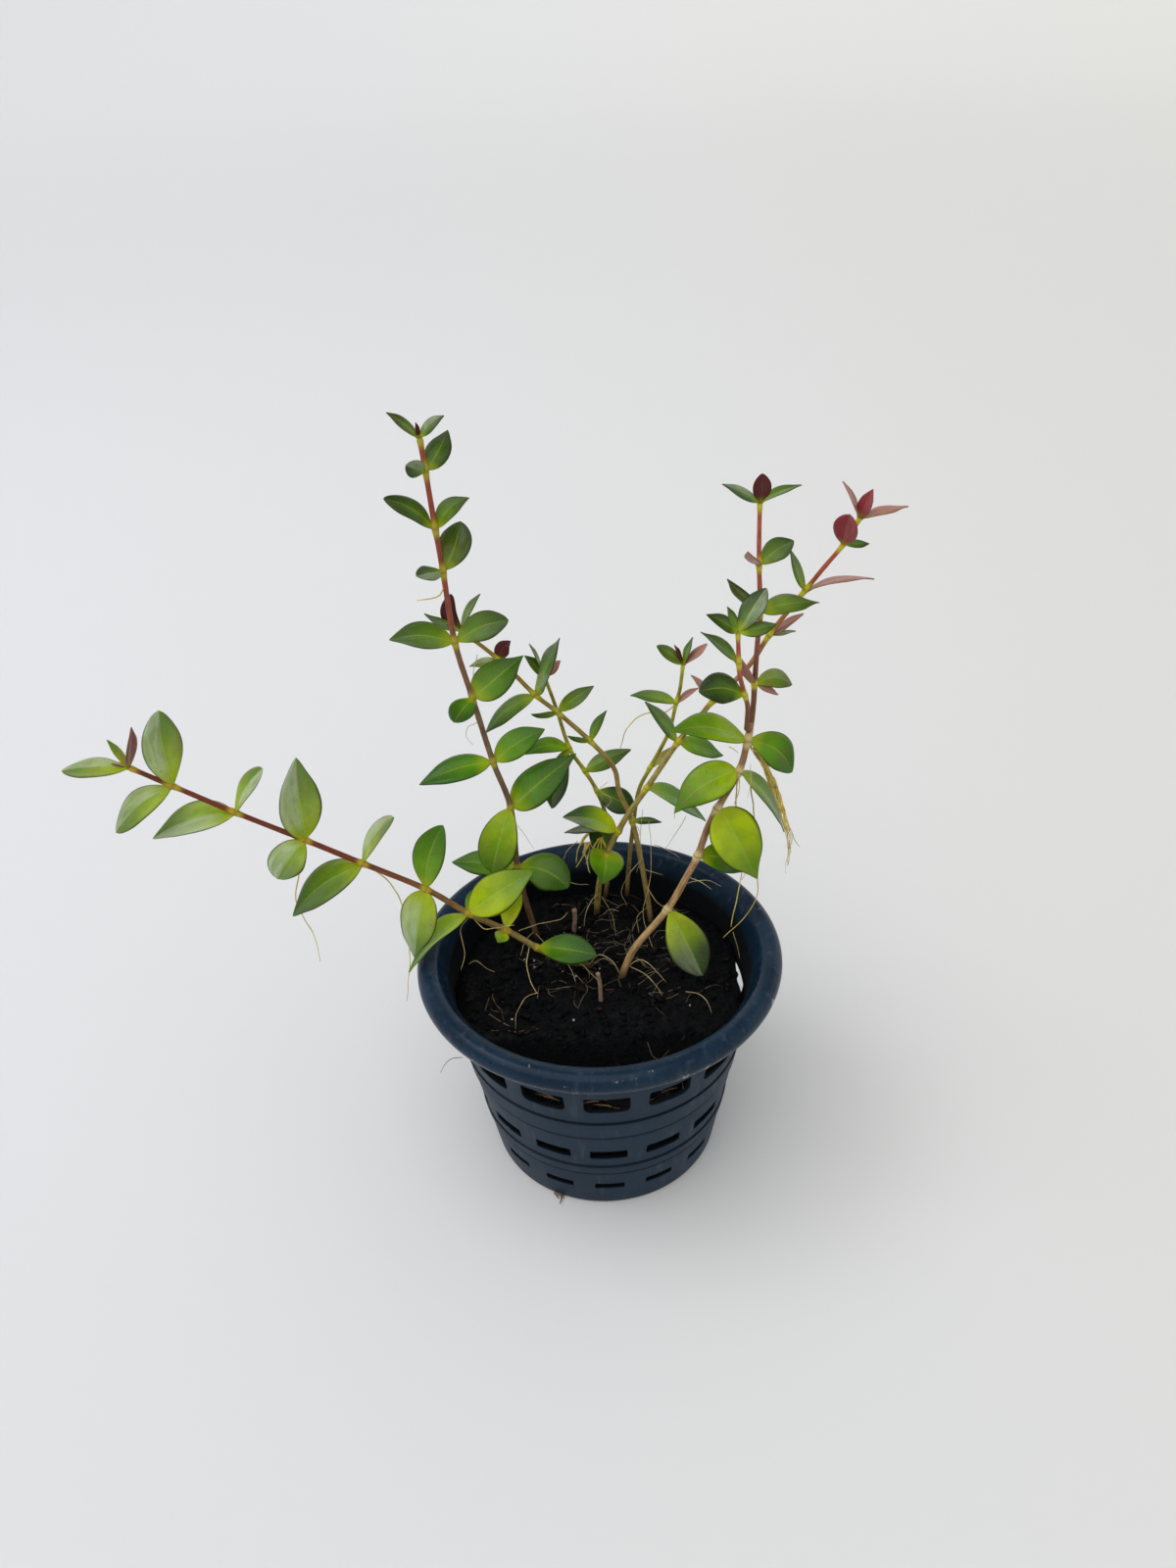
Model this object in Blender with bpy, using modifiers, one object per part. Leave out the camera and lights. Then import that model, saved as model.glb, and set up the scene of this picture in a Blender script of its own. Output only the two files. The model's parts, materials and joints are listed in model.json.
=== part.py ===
"""Potted dwarf rotala: seven leafy stems in a soil plug, standing in a slotted nursery pot.

Units are metres in Blender and millimetres in the named values below. +Z is up, +X is to the
right and +Y points away from the viewer. The origin is the middle of the pot's underside.
The plant was read from one photograph: a place on it is a pixel (x, y) of the 1200 x 1600 picture
with its distance Y behind the pot's middle, and sight_point() turns the three into a point.
"""
import math

import bmesh
import bpy
from mathutils import Matrix, Vector, noise

MM = 0.001
TOUCH_GAP = 0.3
MERGE = 0.00001

# Pot: driving dimensions in millimetres
RIM_RADIUS = 50.0
RIM_BORE = 44.2
POT_HEIGHT = 67.5
BEAD_HEIGHT = 6.2
WALL_TOP_RADIUS = 43.0
BASE_RADIUS = 32.6
WALL = 1.3
FLOOR = 1.5
POT_STEPS = 32
SLOTS_PER_ROW = 15
SLOT_TURN = 0.3
SLOT_ROWS = ((45.3, 51.5, 17.0), (23.2, 26.9, 15.8), (7.8, 10.3, 13.8))
BANDS = ((40.4, 33.4), (19.4, 15.6))
BAND_HEIGHT = 0.4
BAND_BEVEL = 0.3
DRAIN_SLOTS = 6
DRAIN_FROM = 12.0
DRAIN_TO = 27.0
DRAIN_WIDTH = 3.2

# Growing medium: a plug that stands a little clear of the wall
SOIL_TOP = 56.0
SOIL_SIDE_GAP = 1.0
SOIL_STEPS = 24
SOIL_RINGS = 4
SHOULDER_Y = -21.0
SHOULDER_DROP = 15.0
POCKET_DEPTH = 7.0

# Leaves: thickness, least width and bend as shares of the length, and fold as a share of the half
# width; an outline is (share of length, share of width) from the base to the tip
BLADE = 0.5
NARROWEST = 0.46
ARCH = 0.03
FOLD = 0.2
TURN_COST = 0.0015
OUTLINE = ((0.0, 0.0), (0.14, 0.58), (0.45, 1.0), (0.76, 0.74), (1.0, 0.0))
YOUNG_OUTLINE = ((0.0, 0.0), (0.26, 0.84), (0.64, 0.9), (1.0, 0.0))
BUD_OUTLINE = ((0.0, 0.0), (0.45, 1.0), (1.0, 0.0))
BUD_LENGTH = 7.0

# Stems: distance between rings of the rods, and how far below the fork a side branch starts
ROD_SPACING = 16.0
FORK_SETBACK = 2.2

# The viewer's eye and sight: place in millimetres, angles in degrees, focal length in pixels
EYE = Vector((-1.04, -247.29, 279.9))
LOOK_DOWN = 32.9
LOOK_ROLL = -2.5
FOCAL = 1200.0
PICTURE_MIDDLE = (600.0, 800.0)


def sight_axes():
    """Right, up and forward of the viewer."""
    down, roll = math.radians(LOOK_DOWN), math.radians(LOOK_ROLL)
    forward = Vector((0, math.cos(down), -math.sin(down)))
    level_right = Vector((1, 0, 0))
    level_up = level_right.cross(forward)
    right = level_right * math.cos(roll) + level_up * math.sin(roll)
    up = level_up * math.cos(roll) - level_right * math.sin(roll)
    return right, up, forward


RIGHT, UP, FORWARD = sight_axes()


def sight_point(x, y, away):
    """The point in millimetres that the picture shows at pixel (x, y), on the plane Y = away."""
    ray = FORWARD + RIGHT * ((x - PICTURE_MIDDLE[0]) / FOCAL) - UP * ((y - PICTURE_MIDDLE[1]) / FOCAL)
    return EYE + ray * ((away - EYE.y) / ray.y)


# Stems from the soil to the tip: (pixel x, pixel y, Y in millimetres), then the radii at both ends
STEMS = {
    "tall_stem": {
        "route": [(548, 956, 17.7), (537, 921, 17), (528, 884, 16.5), (521, 824, 16), (503, 777, 15.5),
                  (482, 712, 15), (464, 655, 15), (452, 583, 15), (444, 539, 15), (434, 480, 15),
                  (428, 446, 15)],
        "radii": (1.0, 0.68), "tone": "brown"},
    "leaning_stem": {
        "route": [(664, 940, 22.6), (661, 918, 23.2), (653, 873, 24.5), (645, 838, 26), (632, 808, 27.5),
                  (626, 783, 28.3), (602, 756, 29.2), (569, 727, 30), (546, 709, 30.5), (510, 674, 31.3),
                  (470, 643, 32)],
        "radii": (0.95, 0.6), "tone": "brown"},
    "thin_stem": {
        "route": [(618, 915, 35.5), (622, 870, 35), (618, 832, 34.5), (609, 807, 34), (597, 787, 34),
                  (581, 763, 34), (567, 721, 34.5), (555, 689, 34.5)],
        "radii": (0.8, 0.54), "tone": "green"},
    "middle_stem": {
        "route": [(609, 934, 28.5), (611, 905, 27), (619, 872, 25.5), (631, 848, 24), (641, 831, 23),
                  (660, 804, 21.5), (692, 757, 19.5), (715, 730, 18), (728, 715, 17.5), (762, 682, 15),
                  (785, 648, 13), (803, 625, 12), (822, 602, 11), (840, 580, 10), (861, 555, 9),
                  (878, 528, 8)],
        "radii": (1.1, 0.56), "tone": "straw"},
    "slender_stem": {
        "route": [(640, 912, 36), (642, 880, 36), (647, 835, 36), (652, 806, 36), (663, 784, 35.5),
                  (682, 748, 34.5), (690, 717, 34), (694, 702, 34), (697, 678, 34)],
        "radii": (0.8, 0.54), "tone": "green"},
    "forked_stem": {
        "route": [(635, 996, -0.7), (648, 967, -0.5), (681, 928, 0), (702, 892, 0.5), (712, 873, 1),
                  (722, 845, 1.5), (732, 825, 2), (754, 787, 2.5), (763, 755, 3), (767, 735, 4)],
        "radii": (1.15, 0.9), "tone": "brown"},
    "trailing_stem": {
        "route": [(600, 985, 4.4), (574, 980, 2.5), (548, 967, 1.5), (516, 949, 0.5), (478, 932, 0),
                  (434, 907, -0.5), (370, 881, -1), (311, 857, -1.5), (240, 829, -2), (176, 802, -3),
                  (131, 783, -4)],
        "radii": (1.02, 0.68), "tone": "red"},
}

# Branches of the fork; "side" says whether one leaves the parent's end sideways or straight on
BRANCHES = {
    "fork_left_branch": {
        "parent": "forked_stem", "side": True,
        "route": [(763, 722, 1.5), (760, 709, 0.5), (755, 690, -0.5), (754, 676, -1), (753, 645, -2)],
        "radii": (0.74, 0.56), "tone": "red"},
    "fork_right_branch": {
        "parent": "forked_stem", "side": False,
        "route": [(769, 716, 4.5), (770, 698, 5), (773, 655, 5.5), (776, 624, 6), (774.5, 576, 6.5),
                  (775, 530, 7), (775.5, 512, 7)],
        "radii": (0.8, 0.56), "tone": "red"},
}

# Full leaves, a node each: route point, pixel x and y of the tip, how far the tip leans away in
# millimetres, the width that the picture shows and how far the midrib bows to the left of its
# straight line, both in pixels, then the tone
LEAVES = {
    "tall_stem": [
        (9, 457, 439, 6, 25, -2, "green"), (9, 414, 475, -6, 19, 0, "green"),
        (8, 391, 509, -2, 20, -4, "green"), (8, 479, 508, 2, 19, 5, "green"),
        (7, 470, 532, 8, 33, -3, "green"), (7, 425, 588, -8, 16, 0, "green"),
        (6, 397, 653, -3, 28, -5, "green"), (6, 519, 633, 3, 30, 4, "green"),
        (5, 534, 669, 7, 36, 0, "bright"), (5, 463, 737, -9, 25, 0, "bright"),
        (4, 428, 801, -4, 27, -2, "bright"), (4, 556, 744, 4, 29, 2, "bright"),
        (3, 588, 769, 6, 38, 0, "bright"), (3, 502, 890, -8, 40, 0, "bright"),
        (2, 580, 906, -5, 40, 6, "bright"), (2, 461, 880, 3, 27, -1, "bright")],
    "leaning_stem": [
        (8, 571, 651, -3, 15, -2, "green"), (8, 496, 748, -3, 18, -4, "green"),
        (7, 606, 700, 4, 16, 0, "green")],
    "middle_stem": [
        (2, 615, 902, -10, 37, 0, "bright"), (3, 574, 834, -3, 25, -4, "yellow"),
        (6, 658, 716, 3, 14, 0, "green")],
    "forked_stem": [
        (2, 717, 996, -8, 42, 0, "yellow"), (4, 762, 889, 3, 30, 5, "bright"),
        (6, 773, 897, -5, 52, 0, "yellow"), (7, 688, 830, -4, 40, -6, "bright"),
        (7, 800, 849, 2, 14, 3, "bright"), (8, 685, 746, -5, 29, -5, "bright"),
        (8, 808, 788, 3, 35, 8, "green")],
    "fork_left_branch": [(1, 713, 706, -3, 32, -5, "green"), (3, 715, 645, 2, 12, 0, "green")],
    "fork_right_branch": [(3, 836, 615, 3, 20, 1, "green")],
    "trailing_stem": [
        (9, 162, 725, 2, 40, 4, "green"), (9, 119, 850, -4, 29, -5, "green"),
        (8, 156, 856, -2, 31, -4, "green"), (7, 302, 773, 2, 43, 4, "green"),
        (7, 283, 897, -8, 37, -2, "green"), (6, 299, 935, -3, 34, -4, "green"),
        (5, 452, 842, 2, 33, 4, "green"), (5, 423, 977, -4, 38, 0, "green"),
        (4, 418, 992, -6, 18, -3, "bright"), (4, 544, 889, 3, 41, 0, "yellow"),
        (2, 609, 975, -5, 31, 1, "bright")],
}

# Young and small leaves, fused to the stem that they grow from: the same values without a tone
YOUNG_LEAVES = {
    "tall_stem": [(10, 394, 421, -1, 11, -1), (10, 453, 424, 1, 12, 2), (10, 424, 431, 0, 5, 0)],
    "leaning_stem": [
        (10, 460, 606, 0, 17, 8), (10, 433, 626, -2, 10, 0), (10, 490, 606, 1, 8, 0),
        (9, 521, 654, 1, 16, 3), (9, 479, 680, -2, 10, 0), (7, 542, 729, -3, 7, 0),
        (6, 619, 725, 3, 10, 0), (6, 579, 751, -2, 6, 0), (3, 675, 839, -1, 8, 0)],
    "thin_stem": [
        (7, 535, 669, -1, 11, 0), (7, 572, 674, 1, 12, 0), (7, 540, 657, 1, 4, 0),
        (5, 536, 770, -3, 17, -4), (5, 563, 825, -6, 24, 0), (4, 644, 765, 3, 18, 0),
        (3, 648, 826, -3, 27, 0)],
    "middle_stem": [
        (2, 612, 839, 7, 29, 0), (3, 576, 850, 5, 12, 0), (5, 720, 838, 4, 17, 0),
        (6, 738, 771, 4, 19, 0), (8, 705, 689, 1, 8, 0), (8, 738, 700, 4, 10, 0),
        (10, 820, 626, 1, 9, 0), (10, 812, 644, 1, 5, 0), (12, 806, 560, 1, 10, 3),
        (12, 892, 591, 0, 6, 2), (14, 867, 525, -5, 26, 0), (14, 887, 555, 1, 9, -1),
        (15, 860, 491, 1, 6, 0), (15, 891, 499, -1, 15, 0), (15, 927, 517, 0, 9, 0)],
    "slender_stem": [
        (8, 670, 659, 0, 13, 0), (8, 722, 657, 1, 9, -1), (8, 707, 650, 2, 7, 0),
        (8, 688, 658, 1, 5, 0), (6, 643, 710, 1, 13, -2), (6, 713, 702, 0, 7, 0),
        (4, 689, 761, 3, 9, 0)],
    "fork_left_branch": [
        (4, 782, 600, 5, 24, 0), (4, 721, 627, -1, 14, 0), (4, 742, 619, 3, 9, 0),
        (4, 793, 637, 1, 16, -1)],
    "fork_right_branch": [
        (1, 808, 699, 3, 20, 6), (1, 794, 709, 1, 8, 0), (1, 757, 673, -1, 10, 0),
        (3, 742, 591, -2, 13, -2), (4, 810, 552, 3, 24, 2), (4, 763, 563, -6, 10, 0),
        (6, 737, 494, 0, 11, 0), (6, 818, 495, 0, 9, 0), (6, 778, 483, -1, 19, 0)],
    "trailing_stem": [
        (10, 63, 787, -2, 21, 0), (10, 109, 755, 1, 9, 0), (10, 134, 742, 1, 10, 0),
        (10, 105, 778, 2, 4, 0), (8, 268, 784, 2, 16, 3), (6, 402, 834, 2, 16, 3),
        (4, 487, 905, 6, 14, 0), (3, 528, 903, 9, 22, 0), (3, 508, 962, -3, 16, 0)],
}

# Aerial roots, fused to their stem: radii at the start, the middle and the end, then the route
ROOTS = {
    "tall_stem": [((0.3, 0.3, 0.2), [(453, 598, 15), (449, 607, 13.5), (440, 611, 13), (425, 613, 12)])],
    "trailing_stem": [
        ((0.3, 0.3, 0.2), [(311, 858, -1.5), (305, 892, 3), (302, 918, 4), (311, 938, 4), (321, 956, 4),
                           (327, 981, 4)]),
        ((0.3, 0.3, 0.2), [(372, 882, -1), (392, 895, 2), (405, 912, 4), (412, 930, 5), (418, 973, 5),
                           (415, 1022, 4)])],
    "forked_stem": [
        ((0.3, 0.3, 0.2), [(754, 788, 2.5), (751, 818, 8), (755, 855, 9), (757, 891, 8), (750, 924, 6),
                           (746, 946, 4)]),
        ((0.3, 0.3, 0.2), [(755, 784, 2.5), (765, 800, 9), (772, 860, 10), (773, 899, 9), (771, 917, 8),
                           (759, 937, 7), (738, 957, 5)]),
        ((0.4, 1.3, 0.3), [(763, 756, 3), (773, 770, 10), (782, 784, 12), (792, 812, 12), (801, 840, 12),
                           (806, 862, 12), (801, 891, 12)])],
    "middle_stem": [
        ((0.4, 1.2, 0.5), [(630, 849, 24.2), (614, 848, 29.5), (600, 851, 30.5), (592, 862, 30.5),
                           (586, 876, 30.5)])],
    "slender_stem": [
        ((0.3, 0.3, 0.2), [(690, 718, 34), (678, 727, 38), (665, 727, 40), (649, 733, 41),
                           (638, 747, 41.5), (633, 762, 42), (624, 780, 42)])],
}

# Dry stubs of cut stems: foot and top as pixels with Y, then the radius in millimetres
STUBS = {
    "dry_stub_back": ((586, 947, 19.8), (586, 928, 19.8), 0.9),
    "dry_stub_front": ((613, 1016, -8.5), (610, 993, -7.5), 0.75),
}

TONES = {
    "green": (0.07, 0.20, 0.05), "bright": (0.13, 0.36, 0.04), "yellow": (0.36, 0.46, 0.05),
    "brown": (0.22, 0.12, 0.06), "straw": (0.33, 0.25, 0.08), "red": (0.25, 0.07, 0.05),
}


def clear_scene():
    for item in list(bpy.data.objects):
        bpy.data.objects.remove(item, do_unlink=True)
    for name in ("potted_dwarf_rotala", "cutters_and_guides"):
        bpy.context.scene.collection.children.link(bpy.data.collections.new(name))


def plain_material(name, colour, roughness, metallic=0.0):
    material = bpy.data.materials.new(name)
    material.use_nodes = True
    shader = material.node_tree.nodes["Principled BSDF"]
    shader.inputs["Base Color"].default_value = (*colour, 1)
    shader.inputs["Roughness"].default_value = roughness
    shader.inputs["Metallic"].default_value = metallic
    material.diffuse_color = (*colour, 1)
    return material


def add_object(name, data, guide=False):
    item = bpy.data.objects.new(name, data)
    home = "cutters_and_guides" if guide else "potted_dwarf_rotala"
    bpy.data.collections[home].objects.link(item)
    if guide:
        item.hide_render = True
        item.display_type = "WIRE"
    return item


def evaluated_mesh(item):
    """The mesh of an object with its modifiers and its place applied; the object is removed."""
    bpy.context.view_layer.update()
    graph = bpy.context.evaluated_depsgraph_get()
    mesh = bpy.data.meshes.new_from_object(item.evaluated_get(graph))
    mesh.transform(item.matrix_world)
    cage = bmesh.new()
    cage.from_mesh(mesh)
    bmesh.ops.remove_doubles(cage, verts=cage.verts, dist=MERGE)
    bmesh.ops.recalc_face_normals(cage, faces=cage.faces)
    cage.to_mesh(mesh)
    cage.free()
    bpy.data.objects.remove(item, do_unlink=True)
    return mesh


def join_meshes(name, meshes):
    joined = bmesh.new()
    for mesh in meshes:
        joined.from_mesh(mesh)
    result = bpy.data.meshes.new(name)
    joined.to_mesh(result)
    joined.free()
    return result


def boolean(item, cutter, operation):
    modifier = item.modifiers.new(operation.lower(), "BOOLEAN")
    modifier.operation = operation
    modifier.solver = "EXACT"
    modifier.object = cutter
    return modifier


# Pot
def wall_radius(z):
    """Outer radius of the tapered wall at a height in millimetres."""
    wall_top = POT_HEIGHT - BEAD_HEIGHT
    return BASE_RADIUS + (WALL_TOP_RADIUS - BASE_RADIUS) * z / wall_top


def pot_profile():
    """Half section of the pot, from the middle of its floor over the rim and down the outside."""
    wall_top = POT_HEIGHT - BEAD_HEIGHT
    points = [(0, FLOOR), (wall_radius(0) - WALL - 1.0, FLOOR), (wall_radius(1.0) - WALL, FLOOR + 1.0)]
    points += [(wall_radius(wall_top) - WALL, wall_top), (RIM_BORE, POT_HEIGHT - 1.2)]
    bead_middle = (RIM_RADIUS + RIM_BORE + 0.6) / 2
    for degrees in (125, 85, 40, -5, -60):
        angle = math.radians(degrees)
        points.append((bead_middle + (RIM_RADIUS - bead_middle) * math.cos(angle),
                       POT_HEIGHT - BEAD_HEIGHT / 2 + BEAD_HEIGHT / 2 * math.sin(angle)))
    points.append((wall_radius(wall_top) + 0.2, wall_top + 0.4))
    for top, bottom in BANDS:
        points += [(wall_radius(top), top), (wall_radius(top) + BAND_HEIGHT, top - BAND_BEVEL),
                   (wall_radius(bottom) + BAND_HEIGHT, bottom + BAND_BEVEL), (wall_radius(bottom), bottom)]
    points += [(wall_radius(0.8), 0.8), (BASE_RADIUS - 0.8, 0), (0, 0)]
    return points


def box_mesh(name, boxes):
    """Closed boxes as one mesh; each is (centre, size, turn about Z in radians) in millimetres."""
    cage = bmesh.new()
    for centre, size, turn in boxes:
        place = Matrix.Rotation(turn, 4, "Z") @ Matrix.Translation(Vector(centre) * MM)
        scale = Matrix.Diagonal((*(Vector(size) * MM), 1))
        bmesh.ops.create_cube(cage, size=1, matrix=place @ scale)
    mesh = bpy.data.meshes.new(name)
    cage.to_mesh(mesh)
    cage.free()
    return mesh


def slot_boxes():
    """Wall slots in three rows; turn 0 faces the viewer, along -Y."""
    boxes = []
    for low, high, spread in SLOT_ROWS:
        middle = (low + high) / 2
        radius = wall_radius(middle)
        width = 2 * radius * math.sin(math.radians(spread / 2))
        for column in range(SLOTS_PER_ROW):
            turn = math.radians(SLOT_TURN + column * 360 / SLOTS_PER_ROW)
            boxes.append(((0, -radius, middle), (width, 6 * WALL, high - low), turn))
    return boxes


def drain_boxes():
    length = DRAIN_TO - DRAIN_FROM
    middle = (DRAIN_FROM + DRAIN_TO) / 2
    boxes = []
    for column in range(DRAIN_SLOTS):
        turn = math.radians(column * 360 / DRAIN_SLOTS)
        boxes.append(((0, -middle, FLOOR / 2), (DRAIN_WIDTH, length, FLOOR * 4), turn))
    return boxes


def make_pot():
    mesh = bpy.data.meshes.new("pot")
    points = pot_profile()
    edges = [(i, i + 1) for i in range(len(points) - 1)]
    mesh.from_pydata([(r * MM, 0, z * MM) for r, z in points], edges, [])
    turned = add_object("pot_turning", mesh)
    screw = turned.modifiers.new("turn", "SCREW")
    screw.steps = POT_STEPS
    screw.render_steps = POT_STEPS
    screw.use_merge_vertices = True
    screw.merge_threshold = MERGE
    pot = add_object("pot", evaluated_mesh(turned))
    pot.data.materials.append(plain_material("pot_plastic", (0.012, 0.022, 0.035), 0.4))
    cutter = add_object("pot_slots", box_mesh("pot_slots", slot_boxes() + drain_boxes()), guide=True)
    boolean(pot, cutter, "DIFFERENCE")
    pot.data.shade_smooth()
    pot.data.set_sharp_from_angle(angle=math.radians(35))
    return pot


# Growing medium
def soil_height(x, y):
    """Surface of the soil in millimetres: gently uneven, with a shoulder that falls to the front."""
    lumps = noise.noise(Vector((x, y, 3.0)) / 9.0) * 1.6 + noise.noise(Vector((x, y, 11.0)) / 4.0) * 0.6
    past = max(0.0, min(1.0, (SHOULDER_Y - y) / 9.0))
    return SOIL_TOP + lumps - SHOULDER_DROP * past * past * (3 - 2 * past)


def soil_radius(z):
    return wall_radius(z) - WALL - SOIL_SIDE_GAP


def make_soil():
    """Rings of the top surface, then the tapered side and the flat bottom."""
    cage = bmesh.new()
    rim_r = soil_radius(SOIL_TOP)
    middle = cage.verts.new((0, 0, soil_height(0, 0) * MM))
    rings = []
    for step in range(1, SOIL_RINGS + 1):
        radius = rim_r * step / SOIL_RINGS
        ring = []
        for column in range(SOIL_STEPS):
            angle = 2 * math.pi * column / SOIL_STEPS
            x, y = radius * math.cos(angle), radius * math.sin(angle)
            z = soil_height(x, y) - (0.8 if step == SOIL_RINGS else 0)
            if step == SOIL_RINGS:
                x, y = x * soil_radius(z) / rim_r, y * soil_radius(z) / rim_r
            ring.append(cage.verts.new((x * MM, y * MM, z * MM)))
        rings.append(ring)
    for z in (30.0, FLOOR + TOUCH_GAP):
        ring = []
        for column in range(SOIL_STEPS):
            angle = 2 * math.pi * column / SOIL_STEPS
            radius = soil_radius(z) - (0.8 if z < FLOOR + 1 else 0)
            ring.append(cage.verts.new((radius * math.cos(angle) * MM, radius * math.sin(angle) * MM, z * MM)))
        rings.append(ring)
    for i in range(SOIL_STEPS):
        following = (i + 1) % SOIL_STEPS
        cage.faces.new((middle, rings[0][i], rings[0][following]))
        for inner, outer in zip(rings, rings[1:]):
            cage.faces.new((inner[i], outer[i], outer[following], inner[following]))
    cage.faces.new(list(reversed(rings[-1])))
    bmesh.ops.recalc_face_normals(cage, faces=cage.faces)
    mesh = bpy.data.meshes.new("growing_medium")
    cage.to_mesh(mesh)
    cage.free()
    soil = add_object("growing_medium", mesh)
    mesh.materials.append(plain_material("soil", (0.010, 0.009, 0.008), 0.95))
    mesh.shade_smooth()
    mesh.set_sharp_from_angle(angle=math.radians(50))
    return soil


# Stems
def smooth_route(points, spacing):
    """Points read from a Catmull-Rom curve through the given ones, about spacing apart."""
    ends = [points[0] * 2 - points[1]] + points + [points[-1] * 2 - points[-2]]
    route = []
    for i in range(1, len(ends) - 2):
        a, b, c, d = ends[i - 1:i + 3]
        pieces = max(1, round((c - b).length / spacing))
        for k in range(pieces):
            t = k / pieces
            route.append(0.5 * (2 * b + (c - a) * t + (2 * a - 5 * b + 4 * c - d) * t * t
                                + (3 * b - a - 3 * c + d) * t ** 3))
    route.append(points[-1])
    return route


def tube_object(name, points, radii, sides=1, guide=False):
    """A round rod along points, with one radius a point; all in millimetres."""
    curve = bpy.data.curves.new(name, "CURVE")
    curve.dimensions = "3D"
    curve.bevel_depth = MM
    curve.bevel_resolution = sides
    curve.use_fill_caps = True
    spline = curve.splines.new("POLY")
    spline.points.add(len(points) - 1)
    for knot, point, radius in zip(spline.points, points, radii):
        knot.co = (*(point * MM), 1)
        knot.radius = radius
    return add_object(name, curve, guide)


def tapered(route, ends):
    first, last = ends
    return [first + (last - first) * i / (len(route) - 1) for i in range(len(route))]


def stem_points(name):
    """The points of a stem's or a branch's route in millimetres."""
    if name in STEMS:
        return [sight_point(*place) for place in STEMS[name]["route"]]
    spec = BRANCHES[name]
    parent = stem_points(spec["parent"])
    fork = parent[-1]
    own = [sight_point(*place) for place in spec["route"]]
    if not spec["side"]:
        return [fork + (own[0] - fork).normalized() * TOUCH_GAP] + own
    flow = (fork - parent[-2]).normalized()
    out = own[0] - fork
    sideways = (out - flow * out.dot(flow)).normalized()
    start = fork - flow * FORK_SETBACK + sideways * (STEMS[spec["parent"]]["radii"][1] + TOUCH_GAP + 0.1)
    return [start, start + sideways * 0.9 + flow * 0.5] + own


def place_on_stem(name, at):
    """Node point, direction of growth and radius of a stem at a point of its own route."""
    spec = STEMS.get(name) or BRANCHES[name]
    points = stem_points(name)
    index = at + len(points) - len(spec["route"])
    before, after = points[max(index - 1, 0)], points[min(index + 1, len(points) - 1)]
    share = index / (len(points) - 1)
    first, last = spec["radii"]
    return points[index], (after - before).normalized(), first + (last - first) * share


# Leaves
def leaf_ends(name, at, x, y, lean, fused):
    """Base and tip of a leaf, and the face that it would turn up by nature."""
    node, growth, radius = place_on_stem(name, at)
    tip = sight_point(x, y, node.y + lean)
    axis = (tip - node).normalized()
    outward = (axis - growth * axis.dot(growth)).normalized()
    if fused:
        base = node + outward * 0.4 * radius - growth * 0.3
    else:
        base = node + outward * (radius * 1.15 + TOUCH_GAP) + axis * 0.2
    face = growth - axis * growth.dot(axis)
    return base, tip, face.normalized()


def turned_face(base, tip, face, seen):
    """Width of the blade, and its face turned about its axis as little as the seen width asks."""
    axis = (tip - base).normalized()
    face = (face - axis * face.dot(axis)).normalized()
    middle = (base + tip) / 2
    seen_width = seen * (middle - EYE).dot(FORWARD) / FOCAL
    width = max(seen_width * 1.04, (tip - base).length * NARROWEST)
    across = (middle - EYE).cross(axis).normalized()

    def misfit(degrees):
        side = axis.cross(Matrix.Rotation(math.radians(degrees), 3, axis) @ face)
        return abs(abs(side.dot(across)) - seen_width / width) + abs(degrees) * TURN_COST

    best = min(range(-90, 91, 2), key=misfit)
    return width, Matrix.Rotation(math.radians(best), 3, axis) @ face


def leaf_rows(base, tip, face, width, bow, outline):
    """Rows of left, middle and right points of a blade that is folded a little along its midrib."""
    middle = (base + tip) / 2
    axis = (tip - base).normalized()
    side = axis.cross(face)
    length = (tip - base).length
    bow_reach = bow * (middle - EYE).dot(FORWARD) / FOCAL
    leftward = axis.cross(middle - EYE).normalized()
    rows = []
    for t, share in outline:
        swell = math.sin(math.pi * t)
        centre = base + (tip - base) * t + (leftward * bow_reach + face * ARCH * length) * swell
        if share == 0:
            rows.append([centre])
        else:
            half = share * width / 2
            rows.append([centre + side * half * s + face * FOLD * half * abs(s) for s in (-1, 0, 1)])
    return rows


def leaf_object(node_name, stem, at, x, y, lean, seen, bow, fused=False):
    """A thin closed blade from its stalk to its tip."""
    base, tip, face = leaf_ends(stem, at, x, y, lean, fused)
    width, face = turned_face(base, tip, face, seen)
    outline = OUTLINE
    if fused:
        outline = YOUNG_OUTLINE if (tip - base).length > BUD_LENGTH else BUD_OUTLINE
    cage = bmesh.new()
    rows = [[cage.verts.new(point * MM) for point in row]
            for row in leaf_rows(base, tip, face, width, bow, outline)]
    for near, far in zip(rows, rows[1:]):
        for i in (0, 1):
            if len(near) == 1:
                cage.faces.new((near[0], far[i + 1], far[i]))
            elif len(far) == 1:
                cage.faces.new((near[i], near[i + 1], far[0]))
            else:
                cage.faces.new((near[i], near[i + 1], far[i + 1], far[i]))
    mesh = bpy.data.meshes.new(node_name)
    cage.to_mesh(mesh)
    cage.free()
    leaf = add_object(node_name, mesh, guide=fused)
    shell = leaf.modifiers.new("blade", "SOLIDIFY")
    shell.thickness = BLADE * MM
    shell.offset = 0
    mesh.shade_smooth()
    return leaf


def make_leaves(materials):
    for stem, leaves in LEAVES.items():
        for number, (*values, tone) in enumerate(leaves, 1):
            label = stem.replace("_stem", "").replace("_branch", "")
            leaf = leaf_object(f"{label}_leaf_{number}", stem, *values)
            leaf.data.materials.append(materials[tone])


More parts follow.
